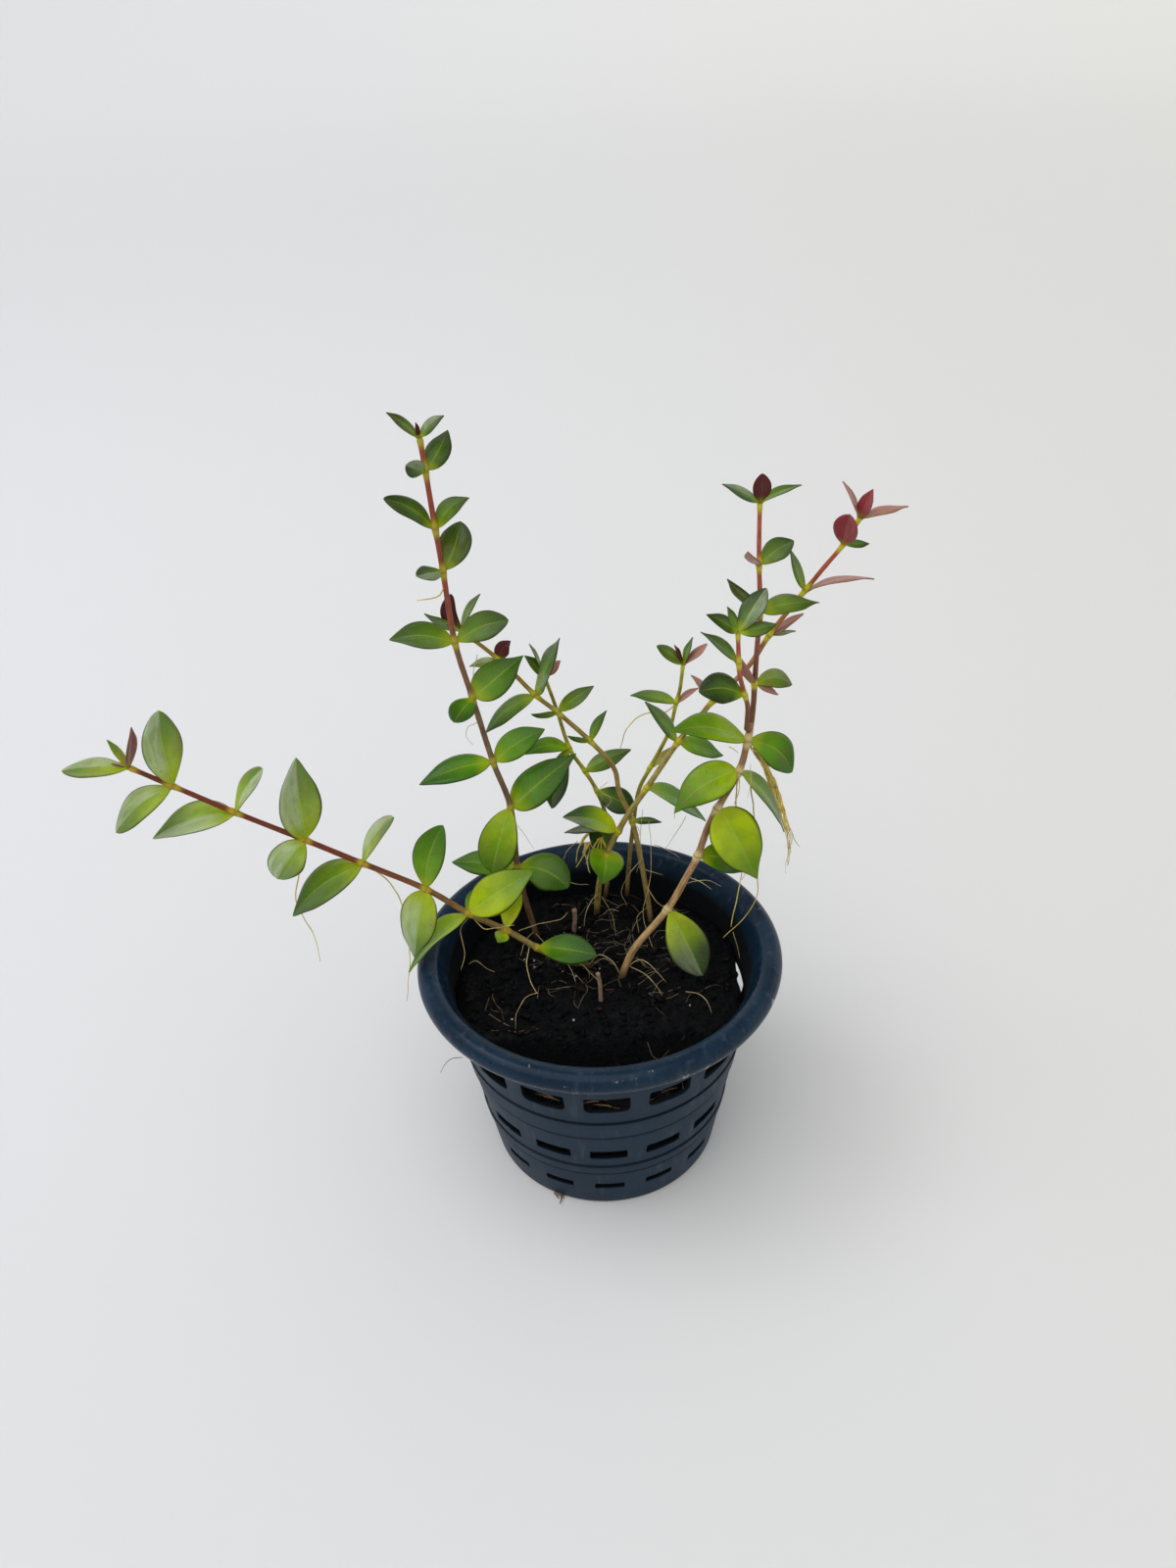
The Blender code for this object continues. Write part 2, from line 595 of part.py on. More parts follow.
def make_stem(name, spec, materials):
    """A tapered stem with its small leaves joined to it; a planted stem runs into its pocket."""
    points = stem_points(name)
    if name in STEMS:
        dive = (points[0] - points[1]).normalized()
        dive = (dive + Vector((0, 0, -1.2))).normalized()
        points = [points[0] + dive * (POCKET_DEPTH - 1.0)] + points
    route = smooth_route(points, ROD_SPACING)
    rod = tube_object(name + "_rod", route, tapered(route, spec["radii"]))
    stem = add_object(name, evaluated_mesh(rod))
    stem.data.materials.append(materials[spec["tone"]])
    grown = []
    for number, values in enumerate(YOUNG_LEAVES.get(name, []), 1):
        grown.append(evaluated_mesh(leaf_object(f"{name}_young_{number}", name, *values, fused=True)))
    for number, (radii, route) in enumerate(ROOTS.get(name, []), 1):
        grown.append(root_mesh(f"{name}_root_{number}", radii, route))
    if grown:
        tuft = add_object(name + "_growth", join_meshes(name + "_growth", grown), guide=True)
        boolean(stem, tuft, "UNION").use_self = True
    stem.data.shade_smooth()
    stem.data.set_sharp_from_angle(angle=math.radians(50))
    return stem


def root_mesh(name, radii, route):
    """A thin root; its radius goes from the first to the middle to the last value."""
    points = [sight_point(*place) for place in route]
    first, middle, last = radii
    share = [2 * i / (len(points) - 1) for i in range(len(points))]
    along = [first + (middle - first) * s if s < 1 else middle + (last - middle) * (s - 1) for s in share]
    return evaluated_mesh(tube_object(name, points, along, sides=0, guide=True))


def make_stubs(materials):
    for name, (foot, top, radius) in STUBS.items():
        low, high = sight_point(*foot), sight_point(*top)
        stub = add_object(name, evaluated_mesh(tube_object(name + "_rod", [low, high], [radius, radius * 0.9])))
        stub.data.materials.append(materials["brown"])
        stub.data.shade_smooth()
        stub.data.set_sharp_from_angle(angle=math.radians(50))


def plant_pockets(soil):
    """Holes in the soil for the buried ends of the stems."""
    pockets = []
    for name, spec in STEMS.items():
        points = stem_points(name)
        dive = (points[0] - points[1]).normalized()
        dive = (dive + Vector((0, 0, -1.2))).normalized()
        radius = spec["radii"][0] + TOUCH_GAP + 0.3
        route = [points[0] + dive * POCKET_DEPTH, points[0], points[1]]
        pockets.append(evaluated_mesh(tube_object(name + "_pocket", route, [radius] * 3, guide=True)))
    cutter = add_object("stem_pockets", join_meshes("stem_pockets", pockets), guide=True)
    boolean(soil, cutter, "DIFFERENCE")


def main():
    clear_scene()
    materials = {tone: plain_material("rotala_" + tone, colour, 0.45) for tone, colour in TONES.items()}
    make_pot()
    soil = make_soil()
    plant_pockets(soil)
    for name, spec in {**STEMS, **BRANCHES}.items():
        make_stem(name, spec, materials)
    make_stubs(materials)
    make_leaves(materials)


main()
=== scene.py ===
# %% [markdown]
# A potted dwarf rotala: seven leafy stems in a plug of peat, in a slotted nursery pot. The solids of
# the model come in as a fixed frame, at real size, with the origin in the middle of the pot's
# underside. Everything below dresses that frame: each plain solid is replaced by a finer piece of
# the same form in the same place.

# %% Frame
import json
import math
import random

import bmesh
import bpy
from mathutils import Matrix, Vector, noise

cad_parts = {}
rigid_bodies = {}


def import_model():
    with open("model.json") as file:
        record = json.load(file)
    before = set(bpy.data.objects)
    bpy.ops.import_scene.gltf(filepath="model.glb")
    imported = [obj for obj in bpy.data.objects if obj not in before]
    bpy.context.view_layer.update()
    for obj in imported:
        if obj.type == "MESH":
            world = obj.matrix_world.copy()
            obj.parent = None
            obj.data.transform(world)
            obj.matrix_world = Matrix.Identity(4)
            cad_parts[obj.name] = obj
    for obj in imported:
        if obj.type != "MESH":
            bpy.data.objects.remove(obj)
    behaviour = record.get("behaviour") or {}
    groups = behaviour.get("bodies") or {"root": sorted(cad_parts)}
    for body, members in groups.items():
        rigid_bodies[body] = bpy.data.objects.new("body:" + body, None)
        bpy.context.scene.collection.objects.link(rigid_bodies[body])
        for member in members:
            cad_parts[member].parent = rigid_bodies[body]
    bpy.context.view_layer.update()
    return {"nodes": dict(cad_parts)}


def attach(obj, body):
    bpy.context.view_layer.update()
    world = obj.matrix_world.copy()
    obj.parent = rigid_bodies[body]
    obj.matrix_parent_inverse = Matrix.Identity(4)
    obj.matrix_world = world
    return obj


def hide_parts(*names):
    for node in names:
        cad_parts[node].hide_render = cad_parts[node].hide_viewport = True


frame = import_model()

MM = 0.001
print("nodes in the frame:", len(frame["nodes"]))

# %% [markdown]
# The plant was read from a single picture, so its points are written as the eye sees them: a pixel
# of the 1200 x 1600 picture and a distance Y behind the pot's middle. One function turns the three
# into a point. The same values then place the camera, so the view and the model agree.

# %% Sight
EYE = Vector((-1.04, -247.29, 279.9))
LOOK_DOWN = 32.9
LOOK_ROLL = -2.5
FOCAL = 1200.0
PICTURE_MIDDLE = (600.0, 800.0)


def sight_axes():
    """Right, up and forward of the viewer."""
    down, roll = math.radians(LOOK_DOWN), math.radians(LOOK_ROLL)
    forward = Vector((0, math.cos(down), -math.sin(down)))
    level_right = Vector((1, 0, 0))
    level_up = level_right.cross(forward)
    right = level_right * math.cos(roll) + level_up * math.sin(roll)
    up = level_up * math.cos(roll) - level_right * math.sin(roll)
    return right, up, forward


RIGHT, UP, FORWARD = sight_axes()


def sight_point(x, y, away):
    """The point in millimetres that the picture shows at pixel (x, y), on the plane Y = away."""
    ray = FORWARD + RIGHT * ((x - PICTURE_MIDDLE[0]) / FOCAL) - UP * ((y - PICTURE_MIDDLE[1]) / FOCAL)
    return EYE + ray * ((away - EYE.y) / ray.y)


print("a pixel at the pot's middle is", round((Vector((0, 0, 60)) - EYE).dot(FORWARD) / FOCAL, 3), "mm")

# %% [markdown]
# Every stem is a list of points from the soil to its tip, with its radius at both ends. The points
# are the same ones that the solids were made from, so the fine stems lie in the plain ones.

# %% Stems, branches and stubs
STEMS = {
    "tall_stem": {
        "route": [(548, 956, 17.7), (537, 921, 17), (528, 884, 16.5), (521, 824, 16), (503, 777, 15.5),
                  (482, 712, 15), (464, 655, 15), (452, 583, 15), (444, 539, 15), (434, 480, 15),
                  (428, 446, 15)],
        "radii": (1.0, 0.68), "bark": "brown"},
    "leaning_stem": {
        "route": [(664, 940, 22.6), (661, 918, 23.2), (653, 873, 24.5), (645, 838, 26), (632, 808, 27.5),
                  (626, 783, 28.3), (602, 756, 29.2), (569, 727, 30), (546, 709, 30.5), (510, 674, 31.3),
                  (470, 643, 32)],
        "radii": (0.95, 0.6), "bark": "olive"},
    "thin_stem": {
        "route": [(618, 915, 35.5), (622, 870, 35), (618, 832, 34.5), (609, 807, 34), (597, 787, 34),
                  (581, 763, 34), (567, 721, 34.5), (555, 689, 34.5)],
        "radii": (0.8, 0.54), "bark": "green"},
    "middle_stem": {
        "route": [(609, 934, 28.5), (611, 905, 27), (619, 872, 25.5), (631, 848, 24), (641, 831, 23),
                  (660, 804, 21.5), (692, 757, 19.5), (715, 730, 18), (728, 715, 17.5), (762, 682, 15),
                  (785, 648, 13), (803, 625, 12), (822, 602, 11), (840, 580, 10), (861, 555, 9),
                  (878, 528, 8)],
        "radii": (1.1, 0.56), "bark": "straw"},
    "slender_stem": {
        "route": [(640, 912, 36), (642, 880, 36), (647, 835, 36), (652, 806, 36), (663, 784, 35.5),
                  (682, 748, 34.5), (690, 717, 34), (694, 702, 34), (697, 678, 34)],
        "radii": (0.8, 0.54), "bark": "green"},
    "forked_stem": {
        "route": [(635, 996, -0.7), (648, 967, -0.5), (681, 928, 0), (702, 892, 0.5), (712, 873, 1),
                  (722, 845, 1.5), (732, 825, 2), (754, 787, 2.5), (763, 755, 3), (767, 735, 4)],
        "radii": (1.15, 0.9), "bark": "tan"},
    "trailing_stem": {
        "route": [(600, 985, 4.4), (574, 980, 2.5), (548, 967, 1.5), (516, 949, 0.5), (478, 932, 0),
                  (434, 907, -0.5), (370, 881, -1), (311, 857, -1.5), (240, 829, -2), (176, 802, -3),
                  (131, 783, -4)],
        "radii": (1.02, 0.68), "bark": "red"},
}
BRANCHES = {
    "fork_left_branch": {
        "parent": "forked_stem", "side": True,
        "route": [(763, 722, 1.5), (760, 709, 0.5), (755, 690, -0.5), (754, 676, -1), (753, 645, -2)],
        "radii": (0.74, 0.56), "bark": "rosy"},
    "fork_right_branch": {
        "parent": "forked_stem", "side": False,
        "route": [(769, 716, 4.5), (770, 698, 5), (773, 655, 5.5), (776, 624, 6), (774.5, 576, 6.5),
                  (775, 530, 7), (775.5, 512, 7)],
        "radii": (0.8, 0.56), "bark": "rosy"},
}
STUBS = {
    "dry_stub_back": ((586, 947, 19.8), (586, 928, 19.8), 0.9),
    "dry_stub_front": ((613, 1016, -8.5), (610, 993, -7.5), 0.75),
}
# in millimetres: how far under the fork the side branch starts, its extra gap and its first bend out
# and up, the gap between two pieces that meet, and how deep a stem is planted
FORK_SETBACK = 2.2
FORK_EASE = 0.1
FORK_BEND = (0.9, 0.5)
TOUCH_GAP = 0.3
POCKET_DEPTH = 7.0
print("stems and branches:", len(STEMS) + len(BRANCHES))

# %% [markdown]
# A leaf needs few numbers: the point of the stem that it grows from, the pixel of its tip, how far
# the tip leans away from the viewer, the width that the picture shows, and how far the midrib bows
# to the left of its straight line. The last word is its colour. Full leaves are solids of their own,
# and the small ones at the tips belong to their stem.

# %% Full leaves
LEAVES = {
    "tall_stem": [
        (9, 457, 439, 6, 25, -2, "dark"), (9, 414, 475, -6, 19, 0, "slate"),
        (8, 391, 509, -2, 20, -4, "dark"), (8, 479, 508, 2, 19, 5, "green"),
        (7, 470, 532, 8, 33, -3, "dark"), (7, 425, 588, -8, 16, 0, "slate"),
        (6, 397, 653, -3, 28, -5, "green"), (6, 519, 633, 3, 30, 4, "green"),
        (5, 534, 669, 7, 36, 0, "deep"), (5, 463, 737, -9, 25, 0, "deep"),
        (4, 428, 801, -4, 27, -2, "deep"), (4, 556, 744, 4, 29, 2, "bright"),
        (3, 588, 769, 6, 38, 0, "deep"), (3, 502, 890, -8, 40, 0, "fresh"),
        (2, 580, 906, -5, 40, 6, "deep"), (2, 461, 880, 3, 27, -1, "bright")],
    "leaning_stem": [
        (8, 571, 651, -3, 15, -2, "green"), (8, 496, 748, -3, 18, -4, "green"),
        (7, 606, 700, 4, 16, 0, "green")],
    "middle_stem": [
        (2, 615, 902, -10, 37, 0, "bright"), (3, 574, 834, -3, 25, -4, "faded"),
        (6, 658, 716, 3, 14, 0, "green")],
    "forked_stem": [
        (2, 717, 996, -8, 42, 0, "turning"), (4, 762, 889, 3, 30, 5, "deep"),
        (6, 773, 897, -5, 52, 0, "yellow"), (7, 688, 830, -4, 40, -6, "fresh"),
        (7, 800, 849, 2, 14, 3, "green"), (8, 685, 746, -5, 29, -5, "fresh"),
        (8, 808, 788, 3, 35, 8, "bright")],
    "fork_left_branch": [(1, 713, 706, -3, 32, -5, "dark"), (3, 715, 645, 2, 12, 0, "green")],
    "fork_right_branch": [(3, 836, 615, 3, 20, 1, "green")],
    "trailing_stem": [
        (9, 162, 725, 2, 40, 4, "pale"), (9, 119, 850, -4, 29, -5, "pale"),
        (8, 156, 856, -2, 31, -4, "pale"), (7, 302, 773, 2, 43, 4, "pale"),
        (7, 283, 897, -8, 37, -2, "pale"), (6, 299, 935, -3, 34, -4, "green"),
        (5, 452, 842, 2, 33, 4, "bright"), (5, 423, 977, -4, 38, 0, "pale"),
        (4, 418, 992, -6, 18, -3, "fresh"), (4, 544, 889, 3, 41, 0, "yellow"),
        (2, 609, 975, -5, 31, 1, "deep")],
}
print("full leaves:", sum(len(leaves) for leaves in LEAVES.values()))

# %% Young and small leaves
YOUNG_LEAVES = {
    "tall_stem": [
        (10, 394, 421, -1, 11, -1, "dark"), (10, 453, 424, 1, 12, 2, "slate"),
        (10, 424, 431, 0, 5, 0, "maroon")],
    "leaning_stem": [
        (10, 460, 606, 0, 17, 8, "maroon"), (10, 433, 626, -2, 10, 0, "green"),
        (10, 490, 606, 1, 8, 0, "green"), (9, 521, 654, 1, 16, 3, "maroon"),
        (9, 479, 680, -2, 10, 0, "pale"), (7, 542, 729, -3, 7, 0, "green"),
        (6, 619, 725, 3, 10, 0, "green"), (6, 579, 751, -2, 6, 0, "green"),
        (3, 675, 839, -1, 8, 0, "shaded")],
    "thin_stem": [
        (7, 535, 669, -1, 11, 0, "green"), (7, 572, 674, 1, 12, 0, "pink"),
        (7, 540, 657, 1, 4, 0, "green"), (5, 536, 770, -3, 17, -4, "bright"),
        (5, 563, 825, -6, 24, 0, "shaded"), (4, 644, 765, 3, 18, 0, "green"),
        (3, 648, 826, -3, 27, 0, "shaded")],
    "middle_stem": [
        (2, 612, 839, 7, 29, 0, "shaded"), (3, 576, 850, 5, 12, 0, "shaded"),
        (5, 720, 838, 4, 17, 0, "bright"), (6, 738, 771, 4, 19, 0, "bright"),
        (8, 705, 689, 1, 8, 0, "pink"), (8, 738, 700, 4, 10, 0, "pale"),
        (10, 820, 626, 1, 9, 0, "pink"), (10, 812, 644, 1, 5, 0, "pale"),
        (12, 806, 560, 1, 10, 3, "green"), (12, 892, 591, 0, 6, 2, "pink"),
        (14, 867, 525, -5, 26, 0, "crimson"), (14, 887, 555, 1, 9, -1, "green"),
        (15, 860, 491, 1, 6, 0, "pink"), (15, 891, 499, -1, 15, 0, "crimson"),
        (15, 927, 517, 0, 9, 0, "pink")],
    "slender_stem": [
        (8, 670, 659, 0, 13, 0, "green"), (8, 722, 657, 1, 9, -1, "pink"),
        (8, 707, 650, 2, 7, 0, "green"), (8, 688, 658, 1, 5, 0, "maroon"),
        (6, 643, 710, 1, 13, -2, "green"), (6, 713, 702, 0, 7, 0, "pink"),
        (4, 689, 761, 3, 9, 0, "dying")],
    "fork_left_branch": [
        (4, 782, 600, 5, 24, 0, "slate"), (4, 721, 627, -1, 14, 0, "dark"),
        (4, 742, 619, 3, 9, 0, "green"), (4, 793, 637, 1, 16, -1, "green")],
    "fork_right_branch": [
        (1, 808, 699, 3, 20, 6, "olive"), (1, 794, 709, 1, 8, 0, "pink"),
        (1, 757, 673, -1, 10, 0, "pink"), (3, 742, 591, -2, 13, -2, "dark"),
        (4, 810, 552, 3, 24, 2, "green"), (4, 763, 563, -6, 10, 0, "pink"),
        (6, 737, 494, 0, 11, 0, "slate"), (6, 818, 495, 0, 9, 0, "green"),
        (6, 778, 483, -1, 19, 0, "maroon")],
    "trailing_stem": [
        (10, 63, 787, -2, 21, 0, "pale"), (10, 109, 755, 1, 9, 0, "yellow"),
        (10, 134, 742, 1, 10, 0, "rust"), (10, 105, 778, 2, 4, 0, "rust"),
        (8, 268, 784, 2, 16, 3, "pale"), (6, 402, 834, 2, 16, 3, "pale"),
        (4, 487, 905, 6, 14, 0, "bright"), (3, 528, 903, 9, 22, 0, "golden"),
        (3, 508, 962, -3, 16, 0, "yellow")],
}
print("small leaves:", sum(len(leaves) for leaves in YOUNG_LEAVES.values()))

# %% [markdown]
# Dwarf rotala puts out roots from its nodes, above the soil too. The thick ones are part of the
# solids, and are repeated here. The hair-fine ones are only worth showing in the looks.

# %% Roots
ROOTS = {
    "tall_stem": [[(453, 598, 15), (449, 607, 13.5), (440, 611, 13), (425, 613, 12)]],
    "trailing_stem": [
        [(311, 858, -1.5), (305, 892, 3), (302, 918, 4), (311, 938, 4), (321, 956, 4), (327, 981, 4)],
        [(372, 882, -1), (392, 895, 2), (405, 912, 4), (412, 930, 5), (418, 973, 5), (415, 1022, 4)]],
    "forked_stem": [
        [(754, 788, 2.5), (751, 818, 8), (755, 855, 9), (757, 891, 8), (750, 924, 6), (746, 946, 4)],
        [(755, 784, 2.5), (765, 800, 9), (772, 860, 10), (773, 899, 9), (771, 917, 8), (759, 937, 7),
         (738, 957, 5)],
        [(763, 756, 3), (773, 770, 10), (782, 784, 12), (792, 812, 12), (801, 840, 12), (806, 862, 12),
         (801, 891, 12)]],
    "middle_stem": [[(630, 849, 24.2), (614, 848, 29.5), (600, 851, 30.5), (592, 862, 30.5)]],
    "slender_stem": [
        [(690, 718, 34), (678, 727, 38), (665, 727, 40), (649, 733, 41), (638, 747, 41.5),
         (633, 762, 42), (624, 780, 42)]],
}
print("thick roots:", sum(len(roots) for roots in ROOTS.values()))

# %% [markdown]
# Stems are lofted by hand rather than left as bevelled curves, because a real stem swells at every
# node and the loft can widen each ring by itself. The centre line is a smooth curve through the
# route's points.

# %% Routes


def smooth_route(points, spacing):
    """Points read from a Catmull-Rom curve through the given ones, about spacing apart."""
    ends = [points[0] * 2 - points[1]] + points + [points[-1] * 2 - points[-2]]
    route = []
    for i in range(1, len(ends) - 2):
        a, b, c, d = ends[i - 1:i + 3]
        pieces = max(1, round((c - b).length / spacing))
        for k in range(pieces):
            t = k / pieces
            route.append(0.5 * (2 * b + (c - a) * t + (2 * a - 5 * b + 4 * c - d) * t * t
                                + (3 * b - a - 3 * c + d) * t ** 3))
    route.append(points[-1])
    return route


def stem_points(name):
    """The points of a stem's or a branch's route in millimetres."""
    if name in STEMS:
        return [sight_point(*place) for place in STEMS[name]["route"]]
    spec = BRANCHES[name]
    parent = stem_points(spec["parent"])
    fork = parent[-1]
    own = [sight_point(*place) for place in spec["route"]]
    if not spec["side"]:
        return [fork + (own[0] - fork).normalized() * TOUCH_GAP] + own
    flow = (fork - parent[-2]).normalized()
    out = own[0] - fork
    sideways = (out - flow * out.dot(flow)).normalized()
    clear = STEMS[spec["parent"]]["radii"][1] + TOUCH_GAP + FORK_EASE
    start = fork - flow * FORK_SETBACK + sideways * clear
    return [start, start + sideways * FORK_BEND[0] + flow * FORK_BEND[1]] + own


def place_on_stem(name, at):
    """Node point, direction of growth and radius of a stem at a point of its own route."""
    spec = STEMS.get(name) or BRANCHES[name]
    points = stem_points(name)
    index = at + len(points) - len(spec["route"])
    before, after = points[max(index - 1, 0)], points[min(index + 1, len(points) - 1)]
    share = index / (len(points) - 1)
    first, last = spec["radii"]
    return points[index], (after - before).normalized(), first + (last - first) * share


print("tip of the tall stem:", tuple(round(v, 1) for v in stem_points("tall_stem")[-1]))

# %% Making meshes


def new_object(name, data):
    """An object of the scene with the given data."""
    made = bpy.data.objects.new(name, data)
    bpy.context.scene.collection.objects.link(made)
    return made


def plain_mesh(name, points, faces):
    """A mesh from points in millimetres."""
    mesh = bpy.data.meshes.new(name)
    mesh.from_pydata([point * MM for point in points], [], faces)
    return mesh


def mesh_piece(name, points, faces, colours=None, uvs=None):
    """A piece from points in millimetres and faces; colours and uvs have one value a point."""
    mesh = plain_mesh(name, points, faces)
    if colours:
        layer = mesh.color_attributes.new("tone", "FLOAT_COLOR", "POINT")
        layer.data.foreach_set("color", [value for colour in colours for value in colour])
    if uvs:
        layer = mesh.uv_layers.new(name="along")
        for loop in mesh.loops:
            layer.data[loop.index].uv = uvs[loop.vertex_index]
    mesh.shade_smooth()
    piece = new_object(name, mesh)
    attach(piece, "root")
    return piece


class Shape:
    """Points, faces, colours and uvs that several forms are added to before they become one piece."""

    def __init__(self):
        self.points, self.faces, self.colours, self.uvs = [], [], [], []

    def add(self, points, faces, colours, uvs):
        start = len(self.points)
        self.points += points
        self.faces += [tuple(start + i for i in face) for face in faces]
        self.colours += colours
        self.uvs += uvs

    def piece(self, name, slot):
        return mesh_piece(name, self.points, self.faces, self.colours, self.uvs)


print("object maker ready")

# %% Rods


def clamped(value):
    return min(1.0, max(0.0, value))


def eased(share):
    """A share from 0 to 1 that starts and ends softly."""
    return share * share * (3 - 2 * share)


def onward(ring):
    """The same ring of point numbers, one place further round."""
    return ring[1:] + ring[:1]


def rings_of(first, count, sides):
    """Rings of point numbers that follow one another, from the number of the first point."""
    return [list(range(first + i * sides, first + (i + 1) * sides)) for i in range(count)]


def tube(shape, route, radii, sides, tones):
    """Adds a closed round rod to a shape: one radius and one tone a point of its route."""
    points, colours, uvs, faces = [], [], [], []
    across = (route[1] - route[0]).normalized().orthogonal().normalized()
    run = 0.0
    for i, centre in enumerate(route):
        flow = (route[min(i + 1, len(route) - 1)] - route[max(i - 1, 0)]).normalized()
        across = (across - flow * across.dot(flow)).normalized()
        beside = flow.cross(across)
        run += (centre - route[i - 1]).length if i else 0.0
        for k in range(sides):
            angle = 2 * math.pi * k / sides
            points.append(centre + (across * math.cos(angle) + beside * math.sin(angle)) * radii[i])
            colours.append(tones[i])
            uvs.append((k / sides, run / 10))
    rings = rings_of(0, len(route), sides)
    for near, far in zip(rings, rings[1:]):
        faces += zip(near, onward(near), onward(far), far)
    for end in (0, -1):
        middle = len(points)
        points.append(route[end])
        colours.append(tones[end])
        uvs.append((0.5, uvs[rings[end][0]][1]))
        for pair in zip(rings[end], onward(rings[end])):
            faces.append((*pair, middle) if end else (middle, *reversed(pair)))
    shape.add(points, faces, colours, uvs)


print("rod maker ready")

# %% [markdown]
# The stems themselves: brown and woody at the foot, red or green towards the tip, with a paler
# swollen ring at each pair of leaves. The tone colour of every point carries its place along the
# stem (red), its closeness to a node (green), a slow uneven value (blue) and its height above the
# wet soil (alpha) to the material.

# %% Stem pieces
STEM_SIDES = 12
STEM_RING = 0.8
# radius between the nodes and what a node adds, as shares; how far a node's swelling reaches, low and high
SLIMNESS = 0.9
NODE_SWELL = 0.34
NODE_REACH = (0.9, 2.4)
UNEVENNESS = 0.06
TIP_TAPER = 0.6
PLANTED_DIVE = Vector((0, 0, -1.2))
BRANCH_SINK = 1.3
SOIL_TOP = 56.0
WET_REACH = 5.0


def stem_route(name):
    """Centre line of a stem as it is shown: planted stems start in the soil, branches in their parent."""
    points = stem_points(name)
    back = (points[0] - points[1]).normalized()
    if name in STEMS:
        return [points[0] + (back + PLANTED_DIVE).normalized() * (POCKET_DEPTH - 1.0)] + points
    return [points[0] + back * BRANCH_SINK] + points


def make_stem(name, spec):
    nodes = {at for at, *_ in LEAVES.get(name, []) + YOUNG_LEAVES.get(name, [])}
    node_points = [place_on_stem(name, at)[0] for at in nodes]
    route = smooth_route(stem_route(name), STEM_RING)
    first, last = spec["radii"]
    radii, tones = [], []
    for i, centre in enumerate(route):
        share = i / (len(route) - 1)
        nearest = min((centre - point).length for point in node_points)
        reach = NODE_REACH[0] + (NODE_REACH[1] - NODE_REACH[0]) * share
        near = math.exp(-(nearest / reach) ** 2)
        radius = first + (last - first) * share
        uneven = 1 + UNEVENNESS * noise.noise(centre / 2.5)
        radii.append(radius * (SLIMNESS + NODE_SWELL * near * near) * uneven)
        above_soil = clamped((centre.z - SOIL_TOP) / WET_REACH)
        tones.append((share, near, noise.noise(centre / 6) * 0.5 + 0.5, above_soil))
    radii[-1] *= TIP_TAPER
    shape = Shape()
    tube(shape, route, radii, STEM_SIDES, tones)
    piece = shape.piece("rod_" + name, "stem")
    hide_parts(name)
    return piece


stem_pieces = {name: make_stem(name, spec) for name, spec in {**STEMS, **BRANCHES}.items()}
print("stem pieces:", len(stem_pieces), "faces:", sum(len(p.data.polygons) for p in stem_pieces.values()))

# %% [markdown]
# A leaf of this plant is a thin pointed oval, folded a little along its midrib, with its edges
# turning down and its tip pinched. It could be a bent plane with a picture of a leaf on it, but a
# closed blade with a thick middle and thin edges catches the light as the real one does. The blade
# is turned about its own axis just enough to show the width that the picture shows, with its glossy
# upper side to the viewer.

# %% Leaf placing
# narrowest blade as a share of its length, how much wider than seen it is made, and the price of a turn
NARROWEST = 0.46
WIDTH_EASE = 1.04
TURN_COST = 0.0015


def leaf_ends(name, at, x, y, lean, stalk_start):
    """Base and tip of a leaf, and the face that it would turn up by nature."""
    node, growth, radius = place_on_stem(name, at)
    tip = sight_point(x, y, node.y + lean)
    axis = (tip - node).normalized()
    outward = (axis - growth * axis.dot(growth)).normalized()
    base = node + outward * stalk_start * radius
    face = growth - axis * growth.dot(axis)
    return base, tip, face.normalized()


def turned_face(base, tip, face, seen):
    """Width of the blade, and its face turned about its axis as little as the seen width asks."""
    axis = (tip - base).normalized()
    face = (face - axis * face.dot(axis)).normalized()
    middle = (base + tip) / 2
    seen_width = seen * (middle - EYE).dot(FORWARD) / FOCAL
    width = max(seen_width * WIDTH_EASE, (tip - base).length * NARROWEST)
    across = (middle - EYE).cross(axis).normalized()

    def misfit(degrees):
        side = axis.cross(Matrix.Rotation(math.radians(degrees), 3, axis) @ face)
        return abs(abs(side.dot(across)) - seen_width / width) + abs(degrees) * TURN_COST

    best = min(range(-90, 91, 2), key=misfit)
    turned = Matrix.Rotation(math.radians(best), 3, axis) @ face
    return width, turned if turned.dot(EYE - middle) > 0 else -turned


print("a leaf turns about its axis in steps of 2 degrees")

# %% Kinds and forms of leaf
# yellowness, redness, darkness, painted sheen (a grey film that stands for reflected light) and fading to the
# tip of each kind of leaf
LEAF_TONES = {
    "green": (0.1, 0.0, 0.72, 0.14, 0.0), "bright": (0.1, 0.0, 0.24, 0.04, 0.0),
    "deep": (0.0, 0.0, 0.56, 0.02, 0.0), "dark": (0.06, 0.06, 1.0, 0.06, 0.0),
    "slate": (0.0, 0.0, 0.9, 0.6, 0.0), "fresh": (0.3, 0.0, 0.2, 0.03, 0.0),
    "yellow": (0.58, 0.0, 0.2, 0.05, 0.0), "golden": (1.0, 0.12, 0.0, 0.0, 0.0),
    "turning": (0.44, 0.1, 0.62, 0.14, 0.6), "faded": (0.72, 0.0, 0.1, 0.12, 0.9),
    "olive": (0.22, 0.1, 0.6, 0.3, 0.0), "pale": (0.4, 0.04, 0.42, 0.85, 0.0),
    "shaded": (0.0, 0.0, 1.0, 0.1, 0.0), "maroon": (0.0, 1.0, 0.95, 0.04, 0.0),
    "crimson": (0.0, 1.0, 0.05, 0.35, 0.0), "pink": (0.85, 0.82, 0.28, 0.6, 0.0),
    "rust": (0.45, 1.0, 0.35, 0.1, 0.0),
    "dying": (0.95, 0.35, 0.2, 0.1, 0.3),
}

